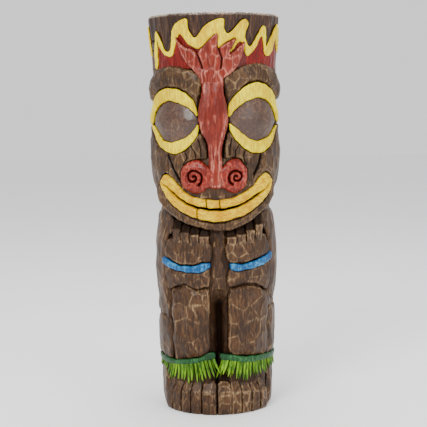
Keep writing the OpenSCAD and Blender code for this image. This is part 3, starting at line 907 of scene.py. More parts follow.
@dataclass
class Turned:
    """A length of the log, closed at both ends, cut with the knife and let in for its members.

    Attributes:
        name: Name of the piece and of the solid it replaces.
        low: Height of its lower end.
        high: Height of its upper end.
        finish: Its paint.
        knife: The cuts all round.
        beds: Hollows as (outline, depth, run of their sloping sides, weight of the painted shade on
            their floor).
        grooves: Lines cut into it.
        steps: Divisions round the log.
        row: Height of one row of faces.
        rings: Rings of faces on each end.
        bevel: Size of the bevel at the upper end; the bevel and the top get pale bare-wood chips,
            partly wear and partly a painted highlight on the rim.
        chart: Radius at which distances round the log are measured.
    """

    name: str
    low: float
    high: float
    finish: Finish
    knife: Knife
    beds: Sequence[tuple[Chart, float, float, float]] = ()
    grooves: Sequence[Groove] = ()
    steps: int = 416
    row: float = 1.25
    rings: int = 12
    bevel: float = 0.0
    chart: float = FACE_CHART

    def spin(self) -> bpy.types.Object:
        """Spins the log's profile round its axis."""
        rows = max(2, int((self.high - self.low) / self.row))
        heights = [self.low + (self.high - self.low) * k / rows for k in range(rows + 1)]
        radii = TRUNK.radius(np.array(heights))
        rings = self.rings
        profile = [(radii[0] * k / rings, 0.0, self.low) for k in range(rings)]
        profile += [(float(r), 0.0, h) for r, h in zip(radii, heights)]
        profile += [(radii[-1] * k / rings, 0.0, self.high) for k in range(rings - 1, -1, -1)]
        edges = [(k, k + 1) for k in range(len(profile) - 1)]
        piece = start_piece(self.name, profile, edges, [])
        bpy.ops.object.mode_set(mode="EDIT")
        bpy.ops.mesh.select_all(action="SELECT")
        bpy.ops.mesh.spin(
            steps=self.steps, angle=math.tau, center=(0.0, 0.0, 0.0), axis=(0.0, 0.0, 1.0)
        )
        bpy.ops.mesh.select_all(action="SELECT")
        bpy.ops.mesh.remove_doubles(threshold=0.02)
        bpy.ops.mesh.normals_make_consistent(inside=False)
        bpy.ops.object.mode_set(mode="OBJECT")
        return piece

    def build(self) -> bpy.types.Object:
        """Makes the length of log, still unpainted.

        Returns:
            The object.
        """
        piece = self.spin()
        place = coordinates(piece)
        x, y, z = place[:, 0], place[:, 1], place[:, 2]
        spoke = np.hypot(x, y)
        angle = np.arctan2(x, -y)
        s = angle * self.chart
        full = TRUNK.radius(z)
        wall = np.clip((spoke - CORE_SHARE * full) / ((1.0 - CORE_SHARE) * full), 0.0, 1.0)
        cut, crest = self.knife.cut(s, z)
        sunk = np.zeros(len(s))
        hollow = np.zeros(len(s))
        # Sunk beds are darkened with their depth: painted shade in the recesses behind the members.
        for outline, depth, run, shade_wash in self.beds:
            points = flatten(outline, self.chart)
            away = distance_to(s, z, points, True)
            share = np.clip(np.where(inside(s, z, points), away, 0.0) / run, 0.0, 1.0)
            sunk = np.maximum(sunk, share * depth)
            hollow = np.maximum(hollow, share * shade_wash)
        # Grooves darken with their depth: dark paint in the cut and painted shade.
        for groove in self.grooves:
            line = groove.cut(s, z, self.chart)
            sunk = sunk + line
            hollow = np.maximum(hollow, np.clip(line / groove.depth, 0.0, 1.0))
        drop = np.clip(1.0 - (self.high - z) / self.bevel, 0.0, 1.0) if self.bevel else 0.0 * z
        reach = full + cut - sunk - drop**2 * self.bevel * 0.7
        radius = spoke * (1.0 - wall) + reach * wall
        cap = (z > self.high - 1e-3) & (spoke < full - 1.0)
        top_cut, top_crest = Knife(17, 15, 0.9, 0.03, self.knife.seed + 5).cut(x, y)
        height = np.where(cap & (self.bevel > 0.0), z + top_cut, z)
        crest = np.where(cap, top_crest, crest)
        outer = np.maximum(spoke, 1e-6)
        put(
            piece,
            np.stack(
                [x / outer * radius, y / outer * radius + TRUNK.set_back, height], axis=1
            ) * MM,
        )
        store(piece, "ridge", crest * (1.0 - hollow))
        store(piece, "hollow", hollow)
        # The top and the rim bevel take the pale chips: wear, and on the rim a painted highlight.
        store(piece, "wear_and_rim_highlight", np.where(cap, 1.0, drop) if self.bevel else np.zeros(len(s)))
        finish_mesh(piece)
        return piece

    def paint(self) -> bpy.types.Object:
        """Makes the length of log and paints it.

        Returns:
            The finished object.
        """
        piece = self.build()
        PAINTS.dress(piece, self.finish, self.name)
        return piece


# ----------------------------------------------------------------------------- outlines

BROW_RIGHT: Chart = (
    (-13.5, 437), (-19, 445), (-29, 450), (-40, 453), (-53, 453), (-67, 448), (-80, 440),
    (-87, 428), (-84, 413), (-74, 410), (-66, 418.5), (-56, 426), (-43, 427.5), (-32, 425),
    (-23, 414), (-17.5, 402), (-16, 412), (-14.5, 425),
)
BROW_LEFT: Chart = (
    (5.5, 437), (11, 445), (18, 450), (28, 454), (39, 456), (50, 455), (61, 450), (74, 441),
    (82, 428), (79, 413), (70, 411), (61, 421), (50, 430.5), (41, 434.5), (32, 434), (24, 429),
    (17, 419.5), (11.5, 409.5), (9.5, 401), (8, 412), (6.5, 425),
)
UPPER_LID_RIGHT: Chart = (
    (-79, 381), (-78, 395), (-72, 408), (-63, 418), (-53, 424), (-43, 425), (-35, 423),
    (-28, 418), (-22, 410), (-19, 401), (-17.5, 391), (-21, 397), (-27, 403), (-34, 407),
    (-41, 410), (-48, 411), (-55, 408), (-62, 403), (-68, 395), (-73, 382),
)
UPPER_LID_LEFT: Chart = (
    (9.5, 390), (9.5, 398), (11, 406), (15, 414), (21, 422), (27, 428), (33, 431), (41, 431),
    (50, 427), (60, 418), (67, 407), (71, 395), (72, 382), (66, 386), (62, 397), (56, 406),
    (49, 411), (41, 414), (34, 413), (27, 410), (21, 405), (15, 399),
)
EYE_RIGHT: Chart = (
    (-17, 385), (-21, 394), (-27, 401), (-34, 405.5), (-41, 408.5), (-48, 409.5), (-55, 406.5),
    (-61, 401.5), (-66.5, 394), (-70, 383), (-66, 373), (-60, 365.5), (-54, 360), (-45, 357.5),
    (-37, 359.5), (-31, 362.5), (-25, 367.5), (-20, 374.5),
)
EYE_LEFT: Chart = (
    (10, 386), (15, 396.5), (21, 403), (27, 408.5), (34, 411.5), (41, 412.5), (49, 409.5),
    (56, 404), (61, 396), (65, 384), (61.5, 374), (56, 365.5), (46, 360.5), (37, 358.5),
    (29, 361.5), (22, 368.5), (15, 376.5),
)
LOWER_LID_RIGHT: Chart = (
    (-76, 376), (-67, 363), (-58, 352), (-49, 346), (-41, 343), (-34, 345), (-28, 350),
    (-22, 359), (-17.5, 369), (-17, 379), (-20, 373), (-25, 366), (-31, 361), (-37, 358),
    (-45, 356), (-54, 358), (-61, 364), (-68, 374), (-72, 377),
)
LOWER_LID_LEFT: Chart = (
    (10, 380), (12, 370), (16, 361), (22, 352), (28, 346), (36, 343), (45, 345), (54, 352),
    (62, 363), (68, 376), (62, 371), (56, 364), (46, 359), (37, 357), (29, 360), (22, 367),
    (15, 375),
)
CHEEK_RIGHT: Chart = (
    (-86, 374), (-77, 371), (-69, 360), (-59, 349), (-49, 344), (-41, 341), (-33, 343),
    (-27, 347.5), (-20.5, 358), (-15.5, 368), (-11.5, 358), (-10, 347), (-10.5, 337),
    (-20, 336.5), (-28.5, 331), (-33, 320.5), (-33, 306), (-31.5, 300), (-37, 307), (-43, 314),
    (-51, 318), (-60, 310), (-67, 301), (-74, 286), (-85, 286), (-88, 330),
)
CHEEK_LEFT: Chart = (
    (81, 374), (72, 373), (64, 361), (55.5, 350), (45.5, 343), (36, 341), (27, 344),
    (20.5, 350.5), (14, 360.5), (9.5, 370), (7, 358), (6, 347), (6, 337.5), (15, 338.5),
    (22, 333), (25.5, 321.5), (25.5, 306), (25, 300), (31, 305), (38, 315), (47, 319),
    (55.5, 313), (62, 304), (72, 286), (83, 286), (87, 330),
)
NOSE: Chart = (
    (-12, 438), (-13, 422), (-15, 406), (-16, 393), (-15, 381), (-13, 369), (-9, 357),
    (-8, 343), (-8, 328), (-8, 314), (-7, 301), (-1, 298), (4, 301), (4.5, 314), (3.5, 328),
    (3, 343), (4, 357), (6, 368), (8, 380), (8, 391), (7, 406), (5, 421), (4, 438),
)
SCROLL_RIGHT: Chart = (
    (-4, 318), (-9.5, 326), (-14, 332), (-20, 334), (-27, 329), (-31, 320), (-31, 307),
    (-27, 297.5),
    (-20, 293.5), (-13.5, 295), (-9.5, 300), (-4, 303),
)
SCROLL_LEFT: Chart = (
    (0, 318), (5.5, 326), (9, 332), (15, 335.5), (20, 330.5), (23.5, 321), (23.5, 307), (20, 298),
    (15, 294), (9.5, 294.5), (5.5, 299), (0, 303),
)
UPPER_LIP: Chart = (
    (-56, 305), (-51, 315), (-42, 311), (-35, 302), (-28, 293), (-21, 288), (-10, 285),
    (-2, 284), (10, 286), (21, 292), (31, 301), (39, 312), (47, 316), (52, 309), (44, 297),
    (33, 290), (24, 282.5), (11, 275.5), (-2, 273.5), (-18, 276.5), (-30, 283.5), (-39, 292.5),
    (-48, 301),
)
LOWER_LIP: Chart = (
    (-57, 305), (-50, 301), (-39, 289), (-30, 280), (-18, 273), (-2, 270), (11, 272), (24, 279),
    (33, 286), (46, 298), (53, 309), (51, 296), (45, 286), (35, 275), (24, 265), (11, 259),
    (-2, 256), (-18, 260), (-29, 266), (-39, 275), (-47, 285),
)
JAW: Chart = (
    (-66, 300), (-62, 282), (-48, 265), (-32, 254), (-17, 248), (-1, 244), (15, 246), (31, 256),
    (46, 270), (57, 283), (61, 302), (55, 306), (53.5, 295), (46.5, 283.5), (35.5, 272.5),
    (24, 262.5), (11, 256.5), (-2, 253.5), (-18, 257.5), (-29.5, 263.5), (-40, 272.5),
    (-49, 283), (-59, 303),
)
PLUME: Chart = (
    (-12.5, 431), (-14, 436.5), (-19.5, 447), (-26, 457), (-31.5, 470.5), (-36.5, 490),
    (-30.5, 479), (-20.5, 473), (-16.5, 469.5), (-13, 475), (-6.5, 485), (0, 493), (0.5, 483),
    (1, 475), (6, 479), (16, 487.5), (13, 477), (10.5, 467), (18, 475), (24.5, 483.5),
    (22, 468), (17.5, 453), (11.5, 444), (5, 437), (4, 431),
)
FLAME_TOP: Chart = (
    (-69, 474), (-65, 491), (-63, 499), (-57, 487), (-53, 476), (-47, 472), (-43, 480),
    (-41, 498), (-35, 508), (-26, 512), (-25, 500), (-21, 490), (-17, 490), (-9, 504), (5, 512),
    (6, 500), (9, 493), (14, 497), (20, 507), (25, 511), (28, 505), (25, 492), (28, 480),
    (32, 478), (37, 488), (44, 503), (48, 500), (50, 478), (55, 485), (64, 500), (72, 508),
    (74, 494), (80, 484), (88, 494), (98, 509), (101, 494), (108, 480), (118, 492), (126, 511),
    (130, 495), (138, 484), (148, 496), (154, 508), (158, 490), (166, 481), (176, 495),
    (184, 511), (187, 496), (195, 483), (206, 498), (212, 509), (216, 492), (224, 479),
    (234, 494), (241, 510), (245, 494), (253, 484), (263, 498), (269, 508), (272, 494),
    (276, 476),
)
FLAME_FOOT: Chart = (
    (276, 468), (268, 478), (262, 490), (256, 470), (246, 474), (237, 489), (230, 466),
    (220, 472), (209, 489), (202, 470), (192, 474), (182, 491), (174, 470), (162, 468),
    (152, 488), (144, 471), (134, 474), (124, 490), (116, 468), (104, 468), (95, 489),
    (87, 472), (76, 476), (68, 490), (60, 470), (50, 468), (44, 491), (37, 477), (31, 468),
    (27, 467), (21, 484), (11, 468), (17, 488), (8, 483), (1, 475), (-1, 492), (-9, 483),
    (-16, 475), (-25, 481), (-33, 494), (-39, 478), (-43, 467), (-51, 468), (-59, 478),
    (-63, 490), (-65, 458), (-68, 451), (-71, 457),
)
ARM_RIGHT: Chart = (
    (-52, 258), (-75, 266), (-95, 262), (-112, 250), (-118, 215), (-112, 170), (-100, 140),
    (-84, 130), (-70, 136), (-59, 150), (-59, 205), (-57, 234), (-51, 240),
)
ARM_LEFT: Chart = (
    (52, 262), (73, 266), (93, 262), (110, 250), (116, 215), (110, 180), (98, 152), (84, 143),
    (70, 148), (59, 162), (59, 210), (57, 238), (52, 246),
)
FOREARM_RIGHT: Chart = (
    (-60, 195), (-50, 190.5), (-38, 188.5), (-26, 187.5), (-17, 188.5), (-10, 194), (-10, 173),
    (-14, 171.5), (-23, 168), (-34, 174), (-46, 170), (-54, 165), (-60, 172),
)
FOREARM_LEFT: Chart = (
    (60, 200), (54, 196), (40, 192.5), (27, 190.5), (16, 189.5), (10, 192), (9, 173.5),
    (14, 171.5), (22, 174.5), (36, 173.5), (48, 167.5), (58, 162), (60, 172),
)
WRIST_RIGHT: Chart = (
    (-62, 206), (-50, 201), (-40, 197), (-30, 197), (-22, 198), (-16, 201), (-9, 202),
    (-9, 196), (-17, 190), (-26, 189), (-38, 190), (-50, 192), (-62, 197),
)
WRIST_LEFT: Chart = (
    (11, 201), (20, 199), (29, 200), (43, 204), (54, 208), (61, 211), (61, 203), (54, 198),
    (40, 194), (27, 192), (16, 191), (11, 194),
)
HAND_RIGHT: Chart = (
    (-58, 226), (-50, 231), (-30, 229), (-9, 227), (-7, 214), (-9, 204), (-16, 203.5),
    (-22, 200.5), (-30, 199.5), (-40, 199.5), (-50, 203.5), (-59, 208),
)
HAND_LEFT: Chart = (
    (8, 226), (22, 228), (38, 232), (52, 235), (56, 228), (58, 212), (43, 206.5), (29, 202.5),
    (20, 201.5), (10, 203), (7, 214),
)
PALM_RIGHT: Chart = (
    (-54, 220), (-54, 256), (-46, 255), (-32, 248), (-20, 243), (-9, 238), (-9, 220),
)
PALM_LEFT: Chart = (
    (8, 220), (8, 238), (16, 240), (31, 248), (42, 256), (50, 262), (54, 258), (54, 220)
)
SHIN_RIGHT: Chart = (
    (-52, 160), (-47, 166), (-34, 171), (-22, 165), (-13, 168), (-10, 160), (-10, 120),
    (-11, 86), (-20, 78), (-35, 74), (-51, 71), (-52, 115),
)
SHIN_LEFT: Chart = (
    (10, 160), (14, 167), (21, 170), (35, 169), (48, 163), (57, 154), (58, 115), (57, 76),
    (46, 76), (34, 77), (22, 79), (10, 85), (10, 120),
)
HAUNCH_RIGHT: Chart = (
    (-54, 118), (-66, 126), (-84, 125), (-100, 114), (-108, 98), (-102, 80), (-84, 73),
    (-66, 73), (-54, 74),
)
HAUNCH_LEFT: Chart = (
    (60, 131), (70, 137), (84, 136), (98, 122), (106, 100), (100, 82), (84, 75), (66, 76),
    (60, 77),
)
ANKLET_RIGHT: Chart = (
    (-104, 70), (-84, 70), (-64, 71), (-50, 70), (-35, 73.2), (-20, 77), (-11, 83.5), (-5, 84),
    (-5, 77), (-12, 74.3), (-20, 70.4), (-30, 67), (-41, 65), (-54, 63), (-66, 62.3),
    (-84, 62.3), (-104, 62.3),
)
ANKLET_LEFT: Chart = (
    (1, 82.5), (12, 80.6), (24, 77), (34, 76), (46, 75.2), (60, 74.3), (76, 72.6), (100, 71.3),
    (100, 63.2), (76, 64.2), (60, 66), (49, 67), (37, 67.3), (24, 69), (12, 72.6), (1, 75.6),
)
BELLY: Chart = ((-14, 244), (0, 246), (14, 244), (14, 172), (0, 166), (-14, 172))
ANKLE_RIGHT: Chart = (
    (-112, 0), (-80, 0), (-40, 0), (-4.5, 0), (-4.5, 40), (-4.5, 83), (-11, 83), (-20, 76),
    (-35, 72), (-50, 69.5), (-64, 70), (-84, 69), (-112, 69), (-112, 34),
)
ANKLE_LEFT: Chart = (
    (-1.8, 0), (40, 0), (80, 0), (112, 0), (112, 34), (112, 70), (76, 71), (60, 73), (46, 74),
    (34, 75), (24, 76), (12, 80), (1, 82), (-1.8, 82), (-1.8, 40),
)
# Toes as (degrees, width, height of the front ridge); fingers as (degrees, root, tip).
TOES_RIGHT = ((-60.5, 12, 24), (-48, 12, 27), (-36, 12, 29), (-24.5, 12, 30), (-11, 16, 31))
TOES_LEFT = ((4.5, 15.5, 31), (16.5, 12, 30), (28, 12, 29), (39.5, 12, 27), (52, 12, 24))
FINGERS_RIGHT = ((-42, 230, 256), (-32.5, 229, 250), (-23, 228, 246.5), (-13.5, 227, 243.5))
FINGERS_LEFT = ((12, 226.5, 242), (21.5, 228, 246), (31.5, 230.5, 252.5), (42, 234, 262))

MASK: Chart = (
    (-87, 262), (-87, 372), (-79, 375), (-80, 396), (-74, 409), (-84, 412), (-86, 429),
    (-80, 440), (-66, 448), (-40, 454), (-13, 454), (4, 454), (28, 455), (50, 456), (74, 441),
    (81, 428), (79, 412), (71, 409), (74, 384), (76, 375), (84, 373), (86, 262),
)
MOUTH: Chart = (
    (-58, 300), (-48, 320), (-34, 336), (-12, 338), (8, 338), (27, 336), (42, 324), (54, 306),
    (46, 282), (30, 264), (-1, 254), (-32, 263), (-50, 281),
)
SLIT: Chart = (
    (-48, 299.5), (-39, 291), (-29, 282.5), (-18, 275), (-2, 271.5), (11, 273.5), (24, 280.5),
    (33, 288), (44, 296.5),
)
FRONT: Chart = (
    (-58, 60), (-58, 300), (58, 300), (58, 60), (100, 60), (100, -30), (-100, -30), (-100, 60),
)
BETWEEN_LEGS: Chart = ((-15, -30), (-15, 158), (0, 168), (15, 158), (15, -30))


# ----------------------------------------------------------------------------- the figure


def spiral(
    degrees: float, height: float, start: float, end: float, turns: float, phase: float, hand: int
) -> list[tuple[float, float]]:
    """Points of a spiral line that winds inwards.

    Args:
        degrees: Angle of the centre.
        height: Height of the centre.
        start: Outer radius.
        end: Inner radius.
        turns: Number of turns.
        phase: Angle at which it starts, in degrees.
        hand: 1 or -1 for the way it winds.

    Returns:
        The line in degrees and millimetres.
    """
    points = []
    steps_per_turn = 22
    count = int(turns * steps_per_turn)
    for k in range(count + 1):
        share = k / count
        radius = start + (end - start) * share
        turn = math.radians(phase) + hand * share * turns * math.tau
        aside = math.degrees(radius * math.cos(turn) / FACE_CHART)
        points.append((degrees + aside, height + radius * math.sin(turn)))
    return points


class Head:
    """The carved mask: brows, lids, eyes, nose, cheeks, lips and jaw on the head's core."""

    muzzle: Chart = ((240, 85), (275, 91), (300, 91), (322, 88))

    def build(self) -> None:
        """Makes every piece of the head."""
        self.core()
        self.brows()
        self.eyes()
        self.cheeks()
        self.nose()
        self.mouth()

    def core(self) -> None:
        """The head's core, with knife facets at the sides and the back."""
        drum = Turned(
            "head_core", 281, 452, Finish.BACK,
            # The mask bed is darkened: painted shade in the gaps between the face pieces.
            Knife(15.5, 26, 1.1, 0.05, 11, ROUND, 0.8), ((MASK, 3.4, 2.0, 0.75),),
        )
        flesh = Member(
            "mouth", MOUTH, Finish.BACK, top=0.0, edge=3.0, root=-10,
            outer=((250, 80), (275, 86), (300, 87.5), (322, 85), (345, 82)),
            knife=Knife(10, 12, 0.7, 0.05, 12), grooves=(Groove(SLIT, 3.0, 5.0),),
        )
        join_members("head_core", (drum.build(), flesh.build()), Finish.BACK)

    def brows(self) -> None:
        """The two heavy brows."""
        for name, outline, seed in (
            ("brow_right", BROW_RIGHT, 21), ("brow_left", BROW_LEFT, 22),
        ):
            Member(
                name, outline, Finish.FACE, top=2.6, edge=3.4, swell=2.2, spread=10,
                knife=Knife(17, 14, 1.0, 0.06, seed),
            ).paint()

    def eyes(self) -> None:
        """Eyeballs between an upper and a lower lid."""
        for side, eye, upper, lower, seed in (
            ("right", EYE_RIGHT, UPPER_LID_RIGHT, LOWER_LID_RIGHT, 31),
            ("left", EYE_LEFT, UPPER_LID_LEFT, LOWER_LID_LEFT, 36),
        ):
            Member(
                f"eyeball_{side}", eye, Finish.EYE, top=0.4, edge=1.2, swell=5.0, spread=26,
                knife=Knife(9.5, 11, 0.22, 0.02, seed, ridge=0.5), arris=0.0, grow=1.2,
            ).paint()
            Member(
                f"upper_lid_{side}", upper, Finish.LID, top=3.4, edge=1.5, swell=0.5, spread=5,
                knife=Knife(11, 10, 0.35, 0.05, seed + 1), grow=1.0,
            ).paint()
            Member(
                f"lower_lid_{side}", lower, Finish.LID, top=3.0, edge=1.5, swell=0.5, spread=5,
                knife=Knife(11, 10, 0.35, 0.05, seed + 2), grow=1.0,
            ).paint()

    def cheeks(self) -> None:
        """Cheeks with the fold that runs from the eye's corner to the mouth's."""
        folds_right = (
            Groove(((-47, 340), (-43, 329), (-37, 316), (-32, 306)), 2.4, 3.0),
            Groove(((-17, 362), (-15, 350), (-14.5, 339)), 0.9, 1.2),
            Groove(((-23, 352), (-20, 345), (-19, 338)), 0.9, 1.2),
            Groove(((-29, 345), (-27, 337), (-31, 328)), 0.9, 1.1),
        )
        folds_left = (
            Groove(((41, 339), (38, 328), (32, 315), (28, 302)), 2.4, 3.0),
            Groove(((12, 362), (10, 350), (10, 340)), 0.9, 1.2),
            Groove(((18, 353), (15, 346), (15, 339)), 0.9, 1.2),
            Groove(((24, 346), (22, 338), (25, 328)), 0.9, 1.1),
        )
        for name, outline, folds, middle, seed in (
            ("cheek_right", CHEEK_RIGHT, folds_right, -37.0, 41),
            ("cheek_left", CHEEK_LEFT, folds_left, 33.0, 44),
        ):
            Member(
                name, outline, Finish.FACE, top=2.6, edge=1.8, swell=0.8, spread=7,
                knife=Knife(14, 20, 0.9, 0.05, seed), grooves=folds,
                bulges=((middle, 304, 24, 22, 6.0),),
            ).paint()

    def nose(self) -> None:
        """The long nose with a scroll at either side of its foot."""
        Member(
            "nose_bridge", NOSE, Finish.ROSE, top=0.0, edge=4.0, arris=0.9, grow=0.3,
            outer=((292, 89), (306, 94), (325, 91), (345, 92), (385, 96), (405, 94), (420, 92),
                   (439, 88)),
            knife=Knife(8, 70, 0.7, 0.02, 51),
        ).paint()
        for name, outline, line, seed in (
            (
                "nostril_scroll_right", SCROLL_RIGHT,
                spiral(-20.5, 313, 11.5, 1.2, 1.5, -60, 1), 53,
            ),
            (
                "nostril_scroll_left", SCROLL_LEFT,
                spiral(15.0, 313, 10.5, 1.2, 1.5, -120, -1), 54,
            ),
        ):
            Member(
                name, outline, Finish.SCROLL, top=0.0, edge=4.5, arris=0.6,
                outer=((290, 89), (300, 92), (325, 93), (338, 89)),
                knife=Knife(7, 7, 0.3, 0.05, seed), grooves=(Groove(line, 1.55, 3.6),), grow=1.5,
            ).paint()

    def mouth(self) -> None:
        """The lips and the jaw under them."""
        cracks = (
            Groove(((-10.5, 290), (-9.5, 270)), 0.8, 1.8),
            Groove(((0.5, 290), (1, 268)), 0.8, 1.8),
        )
        Member(
            "upper_lip", UPPER_LIP, Finish.LIP, top=0.0, edge=3.0, swell=0.8, spread=6, grow=0.3,
            outer=self.muzzle, knife=Knife(9, 9, 0.5, 0.05, 61), grooves=cracks, root=-10,
        ).paint()
        Member(
            "lower_lip", LOWER_LIP, Finish.LIP, top=0.0, edge=3.0, swell=0.8, spread=6, grow=0.3,
            outer=self.muzzle, knife=Knife(9, 9, 0.5, 0.05, 62), root=-10,
            grooves=(Groove(((-17.5, 278), (-18.5, 254)), 0.8, 1.8),),
        ).paint()
        Member(
            "jaw", JAW, Finish.FACE, top=-3.4, edge=3.0, swell=0.8, spread=6, outer=self.muzzle,
            # Darker over the whole jaw band.
            shade_and_stain=((240, 0.3), (300, 0.3)),
            knife=Knife(16, 12, 0.8, 0.05, 63), root=-10,
        ).paint()


class Crown:
    """The drum of the crown, with yellow flames over a red field and a plume on the nose."""

    def build(self) -> None:
        """Makes every piece of the crown."""
        # The bed under the flames and the field is darkened: painted shade in the gaps round them.
        bed = list(FLAME_TOP) + [(276, 440), (180, 440), (90, 440), (0, 440), (-71, 440)]
        turned = []
        for lap in (0, -360):
            turned.append(([(a + lap, h) for a, h in bed], 3.0, 2.0, 0.9))
        # The lines cut round the flames darken: dark paint in the cut and painted shade.
        lines = [
            Groove([(a + lap, h) for a, h in smooth_outline(FLAME_TOP, 3)[:-3]], 1.2, 1.4)
            for lap in (0, -360)
        ]
        Turned(
            "crown_drum", 452, 520, Finish.CROWN,
            Knife(16, 70, 1.5, 0.04, 71, ROUND, 0.7), turned, lines, row=1.0, rings=40,
            bevel=3.5,
        ).paint()
        field_outline = [(a, h + 1.5) for a, h in FLAME_FOOT]
        field_outline += [(-71 + 347 * k / 20.0, 450) for k in range(21)]
        Member(
            "flame_field", field_outline, Finish.RED, top=0.2, root=-5, edge=0.5, wander=0.0,
            grow=0.0, knife=Knife(6.5, 24, 0.6, 0.05, 72, ridge=0.7), voxel=1.15, soft=False,
        ).paint()
        Member(
            "flame_border", list(FLAME_TOP) + list(FLAME_FOOT), Finish.FLAME, top=1.6, root=-5,
            edge=1.2, swell=0.4, spread=5, wander=0.2, grow=0.5, knife=Knife(8, 12, 0.5, 0.05, 73),
            voxel=1.0,
        ).paint()
        Member(
            "nose_plume", PLUME, Finish.ROSE, top=0.0, edge=1.8, swell=1.4, spread=7, arris=0.7,
            outer=((430, 89.5), (440, 88.8), (452, 87.5), (470, 87.8), (493, 88.4)),
            knife=Knife(9, 16, 0.5, 0.05, 74), grow=0.6,
            grooves=(
                Groove(((-17, 470), (-14.5, 460), (-12, 450)), 1.3, 2.0),
                Groove(((1, 476), (4, 462), (3, 450)), 1.3, 2.0),
            ),
        ).paint()


